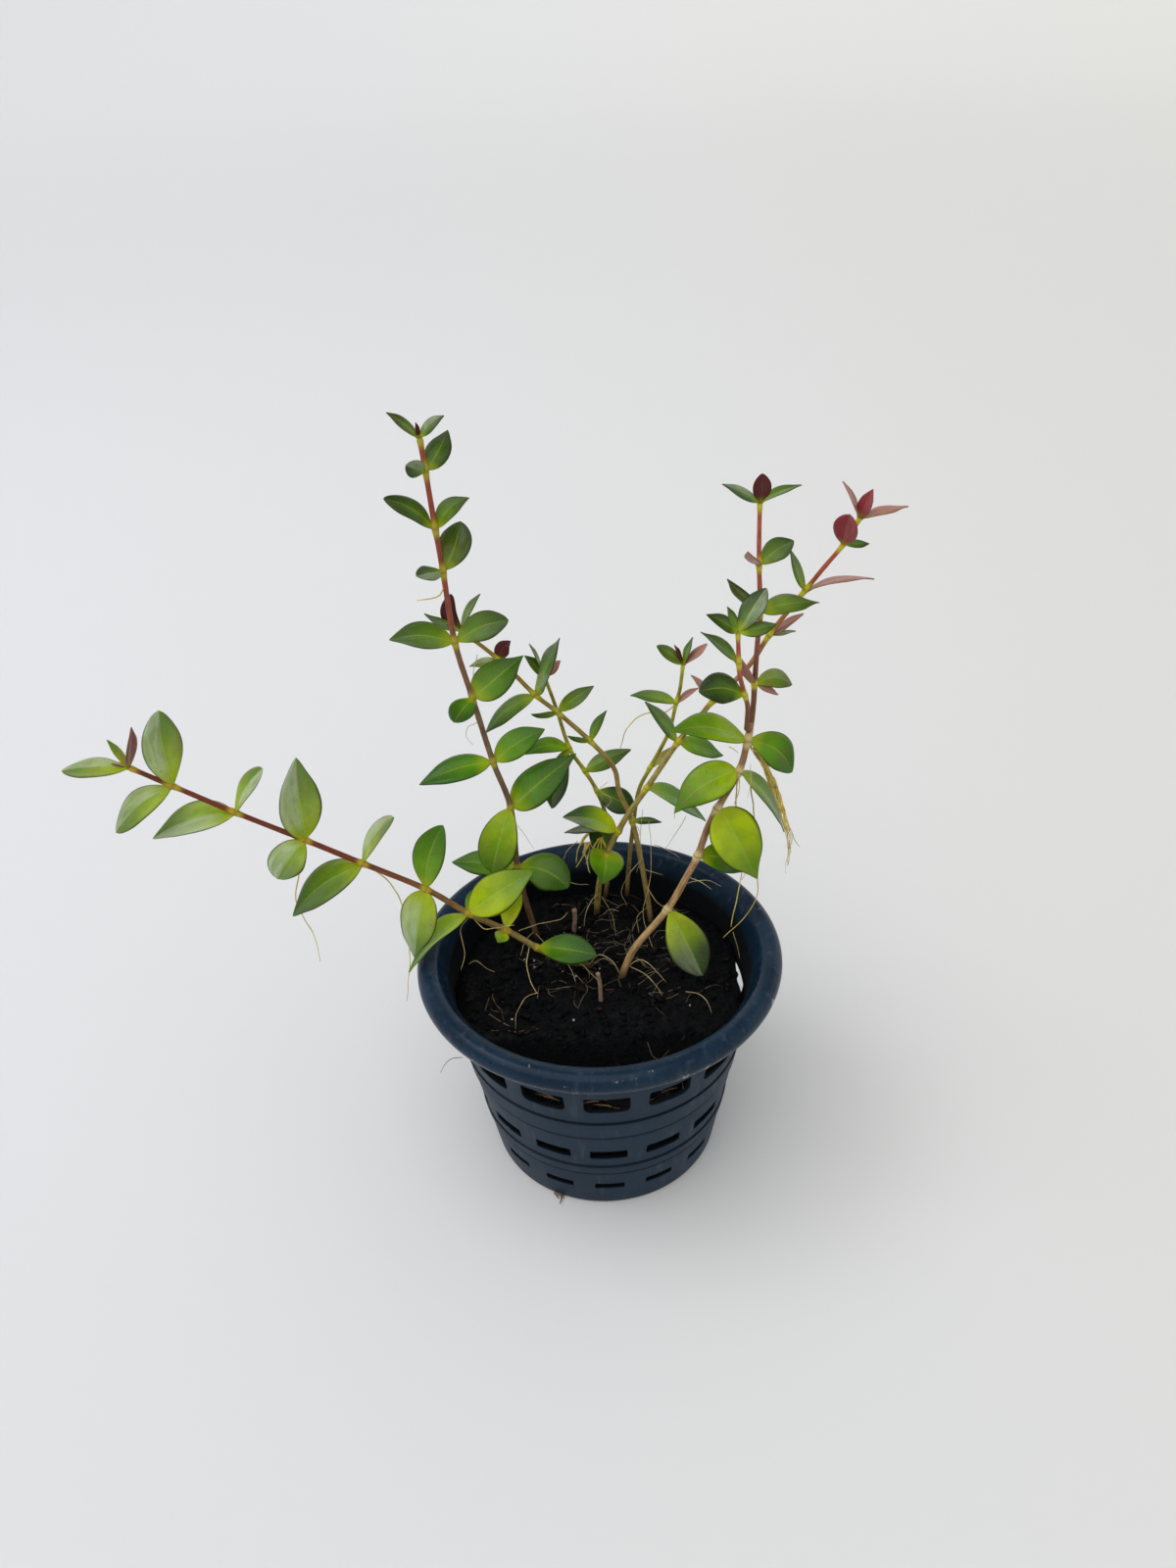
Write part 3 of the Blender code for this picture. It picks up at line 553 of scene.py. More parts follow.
# place of the widest point, fullness, and how far the tip is pinched, for each form of leaf
LEAF_FORMS = {
    "pointed": (0.44, 0.74, 0.3), "drawn": (0.36, 0.78, 0.55), "blunt": (0.54, 0.64, 0.1),
    "round": (0.56, 0.52, 0.0), "narrow": (0.42, 1.0, 0.3), "heart": (0.24, 0.72, 0.1),
}
FORM_OF = {
    "tall_2": "round", "tall_3": "blunt", "tall_5": "blunt", "tall_6": "round", "tall_8": "blunt",
    "tall_9": "drawn", "tall_10": "round", "tall_13": "drawn", "tall_14": "round",
    "tall_15": "blunt", "trailing_1": "blunt", "trailing_2": "blunt",
    "trailing_5": "round", "trailing_7": "blunt", "trailing_8": "drawn", "trailing_9": "narrow",
    "trailing_11": "blunt", "middle_1": "heart", "forked_1": "blunt", "forked_3": "drawn",
    "forked_4": "drawn", "forked_5": "narrow", "forked_7": "blunt", "fork_left_1": "blunt",
    "fork_left_2": "narrow", "fork_right_1": "drawn", "trailing young 5": "round",
    "trailing young 6": "round", "leaning young 1": "round", "middle young 11": "round",
    "fork_right young 9": "blunt", "slender young 1": "blunt", "slender young 2": "blunt",
}
print("kinds of leaf:", len(LEAF_TONES), "forms:", len(LEAF_FORMS))

# %% Leaf blade
BLADE_ROWS = 26
ROW_EASE = 0.28
BLADE_HALVES = 5
COLUMN_EASE = 0.85
BLADE_THICKNESS = 0.34
EDGE_THICKNESS = 0.1
STALK_HALF = 0.42
STALK_END = 0.16
TIP_HALF = 0.05
RIB_DEPTH = 0.22
RIB_WIDTH = 0.16
HEART_LOBES = 0.3
# where the tip begins to narrow
PINCH_FROM = 0.66
# how one blade differs from the next: the ends between which the dice choose
ARCH = (0.015, 0.06)
DROOP = (0.04, 0.2)
FOLD = (0.16, 0.3)
WAVE = 0.035
TWIST = 0.14
TONE_SPREAD = 0.06
# a fading leaf: where it starts, how it shifts yellow, red and dark, and how much painted sheen (a grey film
# that stands for reflected light) it brings
FADE_FROM = 0.22
FADE_SHIFT = (-1.8, -0.3, 1.3)
FADE_PAINTED_SHEEN = 0.7
# a full turn, near enough for dice
AROUND = 6.28


def blade_share(t, form):
    """Half width of the blade at t along it, as a share of its widest."""
    widest_at, fullness, pinching = LEAF_FORMS[form]
    swell = max(0.0, math.sin(math.pi * t ** (math.log(0.5) / math.log(widest_at)))) ** fullness
    pinch = max(0.0, (t - PINCH_FROM) / (1 - PINCH_FROM))
    return swell * (1 - pinching * eased(pinch) * (1 - pinch * 0.4))


def blade(shape, base, tip, face, width, bow, tone, form, dice):
    """Adds one closed blade to a shape."""
    axis = (tip - base).normalized()
    length = (tip - base).length
    side = axis.cross(face)
    middle = (base + tip) / 2
    leftward = axis.cross(middle - EYE).normalized()
    bow_reach = bow * (middle - EYE).dot(FORWARD) / FOCAL
    arch = dice.uniform(*ARCH) * length
    droop = dice.uniform(*DROOP)
    fold = dice.uniform(*FOLD)
    wave, wave_start = dice.uniform(0.0, WAVE) * width, dice.uniform(0, AROUND)
    twist = dice.uniform(-TWIST, TWIST)
    *kind, painted_sheen, fading = LEAF_TONES[tone]
    kind = [value + dice.uniform(-TONE_SPREAD, TONE_SPREAD) for value in kind]
    # which half of the upper side takes the painted sheen, through the sign of the across value
    painted_sheen_side = dice.choice((-1, 1))
    columns = 2 * BLADE_HALVES + 1
    points, colours, uvs, faces = [], [], [], []
    upper, lower = [], []

    def centre_at(t):
        return base + (tip - base) * t + (leftward * bow_reach + face * arch) * math.sin(math.pi * t)

    for i in range(BLADE_ROWS + 1):
        t = i / BLADE_ROWS
        t = t * (1 - ROW_EASE) + ROW_EASE * eased(t)
        flow = (centre_at(min(t + 0.02, 1)) - centre_at(max(t - 0.02, 0))).normalized()
        turn = Matrix.Rotation(twist * (t - 0.5), 3, flow)
        beside = turn @ (side - flow * side.dot(flow)).normalized()
        top = beside.cross(flow)
        half = max(blade_share(t, form) * width / 2, TIP_HALF)
        lobe = HEART_LOBES * length * (1 - t) ** 5 if form == "heart" else 0.0
        stalk = max(0.0, 1 - t / 0.1)
        half = max(half, STALK_HALF * (0.35 + 0.65 * stalk)) if t < STALK_END else half
        upper_row, lower_row = [], []
        faded = fading * max(0.0, t - FADE_FROM)
        colour = [clamped(value + change * faded) for value, change in zip(kind, FADE_SHIFT)]
        # half the strength of the painted sheen, a grey film of painted reflection, carried in alpha on the
        # upper side
        cover = min(1.0, painted_sheen + FADE_PAINTED_SHEEN * faded) / 2
        for j in range(columns):
            u = (j - BLADE_HALVES) / BLADE_HALVES
            u = math.copysign(abs(u) ** COLUMN_EASE, u)
            rise = fold * half * (math.sqrt(u * u + 0.012) - 0.11) - droop * half * abs(u) ** 3.5
            rise += wave * math.sin(9 * t + wave_start + (1.3 if u > 0 else 0)) * u * u
            point = centre_at(t) + beside * half * u + top * rise - axis * lobe * abs(u) ** 1.4
            thick = EDGE_THICKNESS + (BLADE_THICKNESS - EDGE_THICKNESS) * (1 - abs(u) ** 3)
            thick += 0.5 * stalk * (1 - u * u)
            rib = RIB_DEPTH * (1 - t) * math.exp(-(u / RIB_WIDTH) ** 2)
            edge = abs(u) == 1
            for row, offset, under in ((upper_row, thick / 2, 0.0), (lower_row, -thick / 2 - rib, 1.0)):
                if edge and under:
                    row.append(upper_row[j])
                    continue
                row.append(len(points))
                points.append(point + top * (0 if edge else offset))
                colours.append((*colour, under or cover))
                uvs.append((0.5 + painted_sheen_side * u / 2, t))
        upper.append(upper_row)
        lower.append(lower_row)
    for near, far in zip(upper, upper[1:]):
        faces += zip(near, near[1:], far[1:], far)
    for near, far in zip(lower, lower[1:]):
        faces += zip(near[1:], near, far, far[1:])
    foot_end, tip_end = (tuple(upper[i]) + tuple(lower[i][-2:0:-1]) for i in (0, -1))
    faces += [foot_end[::-1], tip_end]
    shape.add(points, faces, colours, uvs)


print("points of a blade:", (BLADE_ROWS + 1) * BLADE_HALVES * 4)

# %% All leaves
# how far from the middle of the stem a full and a young leaf start, in radii of the stem
STALK_STARTS = (0.6, 0.4)
# a young leaf that looks wider than this many pixels is blunt
YOUNG_POINTED = 20


def leaf_label(stem):
    return stem.replace("_stem", "").replace("_branch", "")


def grow_leaf(shape, stem, leaf, seed, form, stalk_start):
    """Adds one leaf of a stem's list to a shape."""
    at, x, y, lean, seen, bow, tone = leaf
    base, tip, face = leaf_ends(stem, at, x, y, lean, stalk_start)
    width, face = turned_face(base, tip, face, seen)
    blade(shape, base, tip, face, width, bow, tone, form, random.Random(seed))


leaf_pieces = []
for stem, leaves in LEAVES.items():
    label = leaf_label(stem)
    for number, leaf in enumerate(leaves, 1):
        shape = Shape()
        form = FORM_OF.get(f"{label}_{number}", "pointed")
        grow_leaf(shape, stem, leaf, f"{stem} {number}", form, STALK_STARTS[0])
        piece = shape.piece(f"blade_{label}_{number}", "leaf")
        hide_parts(f"{label}_leaf_{number}")
        leaf_pieces.append(piece)
for stem, leaves in YOUNG_LEAVES.items():
    label = leaf_label(stem)
    shape = Shape()
    for number, leaf in enumerate(leaves, 1):
        form = FORM_OF.get(f"{label} young {number}", "pointed" if leaf[4] < YOUNG_POINTED else "blunt")
        grow_leaf(shape, stem, leaf, f"{stem} young {number}", form, STALK_STARTS[1])
    leaf_pieces.append(shape.piece(f"young_leaves_{label}", "leaf"))
print("leaf pieces:", len(leaf_pieces), "faces:", sum(len(p.data.polygons) for p in leaf_pieces))

# %% [markdown]
# The pot is turned: one profile of rim, tapered wall and raised bands, spun about Z. The slots are
# cut by boolean boxes whose lower corners are rounder than the upper ones, as in the real mould.

# %% Pot measures
RIM_RADIUS = 50.0
RIM_BORE = 44.2
POT_HEIGHT = 67.5
BEAD_HEIGHT = 6.2
WALL_TOP_RADIUS = 43.0
BASE_RADIUS = 32.6
WALL = 1.3
FLOOR = 1.5
POT_STEPS = 180
SLOTS_PER_ROW = 15
SLOT_TURN = 0.3
# lower and upper edge, spread in degrees and radius of the lower corners of each row of slots
SLOT_ROWS = ((45.3, 51.5, 17.0, 1.9), (23.2, 26.9, 15.8, 0.6), (7.8, 10.3, 13.8, 0.4))
# upper and lower edge of the two raised bands
BANDS = ((40.4, 33.4), (19.4, 15.6))
BAND_HEIGHT = 0.3
GROOVE = 0.3
DRAIN_SLOTS = 6
DRAIN_FROM = 12.0
DRAIN_TO = 27.0
DRAIN_WIDTH = 3.2
# how far a cutter reaches past the wall on both sides, and its upper corners
CUT_REACH = 4.0
CUT_CORNER = 0.35
# the angle in degrees above which an edge of the pot stays sharp
SHARP_FROM = 38


def wall_radius(z):
    """Outer radius of the tapered wall at a height in millimetres."""
    return BASE_RADIUS + (WALL_TOP_RADIUS - BASE_RADIUS) * z / (POT_HEIGHT - BEAD_HEIGHT)


print("wall radius half way up:", round(wall_radius(POT_HEIGHT / 2), 1), "mm")

# %% Pot profile


def pot_profile():
    """Half section of the pot, from the middle of its floor over the rim and down the outside."""
    wall_top = POT_HEIGHT - BEAD_HEIGHT
    points = [(0, FLOOR), (wall_radius(0) - WALL - 1.4, FLOOR), (wall_radius(0.3) - WALL - 0.4, FLOOR + 0.4),
              (wall_radius(1.5) - WALL, FLOOR + 1.5)]
    points += [(wall_radius(z) - WALL, z) for z in range(6, int(wall_top) + 1, 6)]
    points += [(wall_radius(wall_top) - WALL + 0.05, wall_top + 0.6), (RIM_BORE - 0.5, POT_HEIGHT - 2.4),
               (RIM_BORE + 0.1, POT_HEIGHT - 1.1), (RIM_BORE + 0.9, POT_HEIGHT - 0.4)]
    bead_middle = (RIM_RADIUS + RIM_BORE + 0.6) / 2
    for degrees in range(105, -85, -12):
        angle = math.radians(degrees)
        points.append((bead_middle + (RIM_RADIUS - bead_middle) * math.cos(angle),
                       POT_HEIGHT - BEAD_HEIGHT / 2 + BEAD_HEIGHT / 2 * math.sin(angle)))
    points += [(wall_radius(wall_top) + 1.2, wall_top + 0.1), (wall_radius(wall_top) + 0.35, wall_top + 0.2),
               (wall_radius(wall_top - 1) + 0.02, wall_top - 0.9)]
    for top, bottom in BANDS:
        for z, reach in ((top + 0.8, 0), (top + 0.4, 0), (top + 0.2, -GROOVE), (top - 0.15, -GROOVE),
                         (top - 0.4, BAND_HEIGHT), (top - 1.2, BAND_HEIGHT), (bottom + 1.2, BAND_HEIGHT),
                         (bottom + 0.5, BAND_HEIGHT), (bottom + 0.25, -GROOVE), (bottom - 0.3, -GROOVE),
                         (bottom - 0.55, 0), (bottom - 1.0, 0)):
            points.append((wall_radius(z) + reach, z))
    points += [(wall_radius(1.4), 1.4), (wall_radius(0.5) - 0.25, 0.45), (BASE_RADIUS - 0.8, 0), (0, 0)]
    return points


print("points of the pot's profile:", len(pot_profile()))

# %% Slots and the pot


def add_cutter(cuts, low_ring, high_ring):
    """Adds a prism between two outlines; cuts carry no colour."""
    count = len(low_ring)
    faces = [tuple(range(count)), tuple(reversed(range(count, 2 * count)))]
    faces += [(k, (k + 1) % count, count + (k + 1) % count, count + k) for k in range(count)]
    cuts.add(low_ring + high_ring, faces, [], [])


def wall_slot(cuts, centre_radius, low, high, spread, round_low, turn):
    """Adds a box along the radius whose two lower corners are rounded by round_low."""
    half = centre_radius * math.sin(math.radians(spread / 2))
    outline = [(-half, high - CUT_CORNER), (-half + CUT_CORNER, high), (half - CUT_CORNER, high),
               (half, high - CUT_CORNER)]
    for corner, start in ((half - round_low, 0), (-half + round_low, -90)):
        for step in range(5):
            angle = math.radians(start - 90 * step / 4)
            outline.append((corner + round_low * math.cos(angle),
                            low + round_low + round_low * math.sin(angle)))
    turned = Matrix.Rotation(turn, 3, "Z")
    add_cutter(cuts, *([turned @ Vector((across, -(centre_radius + depth), z)) for across, z in outline]
                       for depth in (-CUT_REACH, CUT_REACH)))


def drain_slot(cuts, turn):
    """Adds a box through the floor."""
    half = DRAIN_WIDTH / 2
    corners = [(-half, -DRAIN_FROM), (half, -DRAIN_FROM), (half, -DRAIN_TO), (-half, -DRAIN_TO)]
    turned = Matrix.Rotation(turn, 3, "Z")
    add_cutter(cuts, *([turned @ Vector((x, y, z)) for x, y in corners] for z in (-2.0, CUT_REACH)))


def settle(cage, mesh):
    """Turns all faces of a cage outward and puts it into a mesh."""
    bmesh.ops.recalc_face_normals(cage, faces=cage.faces)
    cage.to_mesh(mesh)
    cage.free()
    return mesh


def spun_pot():
    """The pot without its slots."""
    cage = bmesh.new()
    rows = [cage.verts.new((radius * MM, 0, z * MM)) for radius, z in pot_profile()]
    edges = [cage.edges.new(pair) for pair in zip(rows, rows[1:])]
    bmesh.ops.spin(cage, geom=rows + edges, cent=(0, 0, 0), axis=(0, 0, 1), angle=2 * math.pi,
                   steps=POT_STEPS, use_merge=True)
    bmesh.ops.remove_doubles(cage, verts=cage.verts, dist=0.00001)
    return new_object("pot_shell", settle(cage, bpy.data.meshes.new("pot_shell")))


def all_cuts():
    """One object that holds every slot."""
    cuts = Shape()
    for low, high, spread, round_low in SLOT_ROWS:
        radius = wall_radius((low + high) / 2)
        for column in range(SLOTS_PER_ROW):
            turn = math.radians(SLOT_TURN + column * 360 / SLOTS_PER_ROW)
            wall_slot(cuts, radius, low, high, spread, round_low, turn)
    for column in range(DRAIN_SLOTS):
        drain_slot(cuts, math.radians(column * 360 / DRAIN_SLOTS))
    mesh = plain_mesh("slot_cutter", cuts.points, cuts.faces)
    cage = bmesh.new()
    cage.from_mesh(mesh)
    return new_object("slot_cutter", settle(cage, mesh))


def make_pot():
    pot, cutter = spun_pot(), all_cuts()
    cut = pot.modifiers.new("slots", "BOOLEAN")
    cut.object = cutter
    cut.solver = "EXACT"
    graph = bpy.context.evaluated_depsgraph_get()
    pot.data = bpy.data.meshes.new_from_object(pot.evaluated_get(graph))
    pot.modifiers.clear()
    bpy.data.objects.remove(cutter)
    pot.data.shade_smooth()
    pot.data.set_sharp_from_angle(angle=math.radians(SHARP_FROM))
    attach(pot, "root")
    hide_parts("pot")
    return pot


pot = make_pot()
print("pot faces:", len(pot.data.polygons))

# %% [markdown]
# The growing medium is a black, wet peat plug that stands a little clear of the wall. Its top is
# built on rings, so that the edge stays round, and pushed up and down by layers of noise: broad
# lumps, crumbs and grains. At the front the plug falls away in a steep shoulder.

# %% Surface of the medium
SOIL_SIDE_GAP = 1.0
SHOULDER_Y = -21.0
SHOULDER_REACH = 9.0
SHOULDER_DROP = 15.0
# lumps of the surface: a number that sets their pattern apart, their size and their height
LUMPS = ((3.0, 9.0, 1.6), (11.0, 4.0, 0.6))
CLOD_SIZE = 2.3
CLOD_REACH = 0.55
CLOD_RISE = 1.5
GRAIN_SIZE = 1.5
# how fast the layers of a rough noise lose height, and how much finer each is than the last
ROUGH_NOISE = (0.9, 2.1)
# where the top bends down to the wall, as a share of its radius
EDGE_FROM = 0.93
# on the right the medium has shrunk: where round the pot, how wide and how far
SHRUNK_AT = -0.06
SHRUNK_WIDTH = 0.26
SHRUNK_BY = 1.5
SOIL_RINGS = 66
SOIL_STEPS = 190
SIDE_RINGS = 22


def soil_radius(z):
    return wall_radius(z) - WALL - SOIL_SIDE_GAP


def swollen(angle):
    """How far the loose edge leans out to the wall; on the right it has shrunk away from it."""
    opening = math.exp(-((angle - SHRUNK_AT) / SHRUNK_WIDTH) ** 2)
    return (SOIL_SIDE_GAP - 0.12) * (1 - opening) - SHRUNK_BY * opening


def soil_height(x, y):
    """The plain surface of the solid plug."""
    lumps = sum(noise.noise(Vector((x, y, apart)) / size) * rise for apart, size, rise in LUMPS)
    return SOIL_TOP + lumps - SHOULDER_DROP * eased(clamped((SHOULDER_Y - y) / SHOULDER_REACH))


def crumble(point):
    """Height of crumbs and grains at a point, in millimetres."""
    near = noise.voronoi(point / CLOD_SIZE)[0]
    clod = max(0.0, CLOD_REACH - near[0]) * CLOD_RISE
    fine = noise.fractal(point / GRAIN_SIZE, *ROUGH_NOISE, 4)
    return clod + fine * 0.5 - CLOD_REACH


def soil_surface(x, y):
    return soil_height(x, y) + crumble(Vector((x, y, 0.0)))


print("soil height in the middle:", round(soil_surface(0, 0), 1), "mm")

# %% Growing medium


def side_limit(z, angle):
    """How far from the axis the medium may reach at a height and an angle."""
    return soil_radius(z) + swollen(math.remainder(angle, 2 * math.pi))


def wall_faces(rings):
    """Faces between rings of point numbers that each lie further out or lower than the one before."""
    return [face for near, far in zip(rings, rings[1:])
            for face in zip(near, far, onward(far), onward(near))]


def cap_faces(ring):
    """A fan from point 0 to a ring."""
    return [(0, *pair) for pair in zip(ring, onward(ring))]


def make_soil():
    points = [Vector((0, 0, soil_surface(0, 0)))]
    rim = soil_radius(SOIL_TOP)
    angles = [2 * math.pi * k / SOIL_STEPS for k in range(SOIL_STEPS)]
    for ring in range(1, SOIL_RINGS + 1):
        radius = rim * (ring / SOIL_RINGS) ** 0.9
        for angle in angles:
            x, y = radius * math.cos(angle), radius * math.sin(angle)
            z = soil_surface(x, y) - max(0.0, (radius / rim - EDGE_FROM) / (1 - EDGE_FROM)) ** 2
            limit = side_limit(z, angle)
            squeeze = limit / rim if ring == SOIL_RINGS else min(1.0, limit / radius)
            points.append(Vector((x * squeeze, y * squeeze, z)))
    edge = points[-SOIL_STEPS:]
    for step in range(1, SIDE_RINGS + 1):
        for angle, top in zip(angles, edge):
            z = top.z + (FLOOR + TOUCH_GAP - top.z) * step / SIDE_RINGS
            direction = Vector((math.cos(angle), math.sin(angle), 0))
            rough = noise.fractal((direction * 40 + Vector((0, 0, z))) / 3.0, *ROUGH_NOISE, 3) * 0.5
            out = side_limit(z, angle) - 0.25 + min(rough, 0.2)
            points.append(direction * out + Vector((0, 0, z)))
    rings = rings_of(1, SOIL_RINGS + SIDE_RINGS, SOIL_STEPS)
    faces = cap_faces(rings[0]) + wall_faces(rings) + [tuple(reversed(rings[-1]))]
    soil = mesh_piece("peat_plug", points, faces)
    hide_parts("growing_medium")
    return soil


soil = make_soil()
print("peat faces:", len(soil.data.polygons))

# %% [markdown]
# Loose pieces lie on the peat: dark crumbs, flat chips of bark and a few white grains. Each is a
# small uneven lump, flattened for the chips, and seeded dice spread them over the surface.

# %% Crumbs, bark chips and white grains
LUMP_RINGS = 5
LUMP_STEPS = 7
LUMP_ROUGHNESS = 0.3
CRUMB_TILT = 0.7


def random_seed(dice, reach):
    """A place in the noise that no other piece shares."""
    return Vector([dice.uniform(0, reach) for _ in range(3)])


def lump(shape, centre, sizes, turn, dice):
    """Adds a small uneven stone-like lump."""
    points = []
    seed = random_seed(dice, 50)
    for i in range(LUMP_RINGS + 1):
        polar = math.pi * i / LUMP_RINGS
        for k in range(LUMP_STEPS if 0 < i < LUMP_RINGS else 1):
            angle = 2 * math.pi * k / LUMP_STEPS
            unit = Vector((math.sin(polar) * math.cos(angle), math.sin(polar) * math.sin(angle),
                           math.cos(polar)))
            swell = 1 + LUMP_ROUGHNESS * noise.noise(unit * 1.7 + seed)
            points.append(centre + turn @ Vector([unit[a] * sizes[a] * swell for a in range(3)]))
    last = len(points) - 1
    rings = rings_of(1, LUMP_RINGS - 1, LUMP_STEPS)
    faces = cap_faces(rings[0]) + wall_faces(rings)
    faces += [(here, last, after) for here, after in zip(rings[-1], onward(rings[-1]))]
    tone = dice.random()
    shape.add(points, faces, [(tone, tone, tone, 1.0)] * len(points), [(0, 0)] * len(points))


def random_turn(dice):
    turn = Matrix.Rotation(dice.uniform(0, AROUND), 3, "Z")
    for axis in "XY":
        turn = turn @ Matrix.Rotation(dice.uniform(-CRUMB_TILT, CRUMB_TILT), 3, axis)
    return turn


def scattered(name, count, seed, size_from, size_to, flat, sink):
    """Lumps strewn over the soil; flat squashes them, sink is how high their middle lies."""
    dice = random.Random(seed)
    shape = Shape()
    for _ in range(count):
        radius = (soil_radius(SOIL_TOP) - 2.0) * math.sqrt(dice.random())
        angle = dice.uniform(0, 2 * math.pi)
        x, y = radius * math.cos(angle), radius * math.sin(angle)
        size = dice.uniform(size_from, size_to) * dice.uniform(0.6, 1.0)
        sizes = (size * dice.uniform(0.9, 1.7), size, size * flat)
        centre = Vector((x, y, soil_surface(x, y) + sizes[2] * sink))
        lump(shape, centre, sizes, random_turn(dice), dice)
    return shape.piece(name, "potting_mix")


# how many, the seed of the dice, smallest and largest size, flatness, and how high the middle lies
STREWN = {"peat_crumbs": (620, 11, 0.45, 1.25, 0.7, 0.2), "bark_chips": (46, 12, 0.8, 1.9, 0.28, 0.3),
          "white_grains": (16, 13, 0.25, 0.5, 0.8, 0.6)}
crumbs, chips, grains = [scattered(name, *recipe) for name, recipe in STREWN.items()]
print("crumb faces:", len(crumbs.data.polygons))

# %% [markdown]
# Roots are thin wandering rods. The long ones follow points read from the picture. One hangs as a
# bundle of many strands that wave round one line, and one spreads as a short tuft.

# %% One root
ROOT_STEP = 1.1
ROOT_RADII = (0.2, 0.18, 0.1)


def three_values(values, share):
    """From the first value over the middle one, at share 1, to the last one, at share 2."""
    first, middle, last = values
    return first + (middle - first) * share if share < 1 else middle + (last - middle) * (share - 1)


def root(shape, points, radii, dice, sides=6, wander=0.25, step=ROOT_STEP):
    """Adds one root through points; its radius goes from the first to the middle to the last value."""
    route = smooth_route(points, step)
    seed = random_seed(dice, 90)
    thick = []
    shade = dice.random()
    for i, point in enumerate(route):
        share = 2 * i / (len(route) - 1)
        thick.append(three_values(radii, share))
        if i:
            spot = point / 4.0 + seed
            sway = [noise.noise(spot + Vector(shift)) for shift in ((0, 0, 0), (7, 0, 0), (0, 7, 0))]
            route[i] = point + Vector(sway) * wander * min(1, share * 3)
    tube(shape, route, thick, sides, [(shade, i / len(route), 0, 1.0) for i in range(len(route))])


def hair_root(shape, points, sizes, dice, end=0.6, **manner):
    """Adds a thin root; the dice choose its radius between two sizes, and end is the share at its tip."""
    size = dice.uniform(*sizes)
    root(shape, points, (size, size, size * end), dice, sides=5, **manner)


print("a root of three points has", len(smooth_route([Vector((0, 0, z)) for z in (0, 5, 10)], ROOT_STEP)),
      "rings")

# %% Bundle and tuft
# which of a stem's roots is a bundle or a tuft, and how it is made
BUNDLED = ("forked_stem", 2)
BUNDLE_STRANDS = 30
BUNDLE_STEP = 1.4
BUNDLE_REACH = (0.4, 1.3, 0.3)
TUFTED = ("middle_stem", 0)
TUFT_ROOTS = 17
STUMP_RADII = (0.5, 0.55, 0.4)
# thinnest and thickest of the strands and of the roots in the tuft
STRAND_RADII = (0.09, 0.17)
TUFT_RADII = (0.13, 0.22)


def bundle(shape, points, dice):
    """Adds wavy strands that wind round one line."""
    line = smooth_route(points, BUNDLE_STEP)
    for _ in range(BUNDLE_STRANDS):
        angle, out = dice.uniform(0, AROUND), math.sqrt(dice.random())
        winding = dice.uniform(-0.25, 0.25)
        start, stop = dice.randrange(0, len(line) // 3), len(line) - dice.randrange(0, len(line) // 2)
        route = []
        for i in range(start, stop):
            spread = three_values(BUNDLE_REACH, 2 * i / (len(line) - 1))
            turn = angle + i * winding
            aside = RIGHT * math.cos(turn) + Vector((0, 1, 0)) * math.sin(turn)
            route.append(line[i] + aside * spread * out)
        hair_root(shape, route, STRAND_RADII, dice, end=0.5, wander=0.8)


def tuft(shape, points, dice):
    """Adds a woody stump through points and, from along it, separate roots that fan down."""
    root(shape, points, STUMP_RADII, dice, sides=8)
    for _ in range(TUFT_ROOTS):
        share = dice.uniform(0.35, 1.0)
        start = points[0] + (points[-1] - points[0]) * share
        heading = Vector((dice.uniform(-1.1, 0.5), dice.uniform(-0.5, 0.3), -1.0)).normalized()
        reach = dice.uniform(4.0, 8.5)
        sag = Vector((dice.uniform(-0.3, 0.6), 0.0, -0.5)) * reach * 0.3
        route = [start, start + heading * reach * 0.5, start + heading * reach + sag]
        hair_root(shape, route, TUFT_RADII, dice, end=0.7, wander=0.9)


print("strands in the bundle:", BUNDLE_STRANDS, "roots in the tuft:", TUFT_ROOTS)

# %% Root pieces
root_pieces = []
for stem, roots in ROOTS.items():
    dice = random.Random(stem + " roots")
    shape = Shape()
    for number, route in enumerate(roots):
        points = [sight_point(*place) for place in route]
        if (stem, number) == BUNDLED:
            bundle(shape, points, dice)
        elif (stem, number) == TUFTED:
            tuft(shape, points, dice)
        else:
            root(shape, points, ROOT_RADII, dice)
    root_pieces.append(shape.piece("air_roots_" + leaf_label(stem), "dry_fibre"))
print("root pieces:", len(root_pieces))

# %% [markdown]
# The hair-fine roots are only a few pixels wide in the picture, and too thin for solids. Each one is
# a short list of points, with a radius of about a tenth of a millimetre.

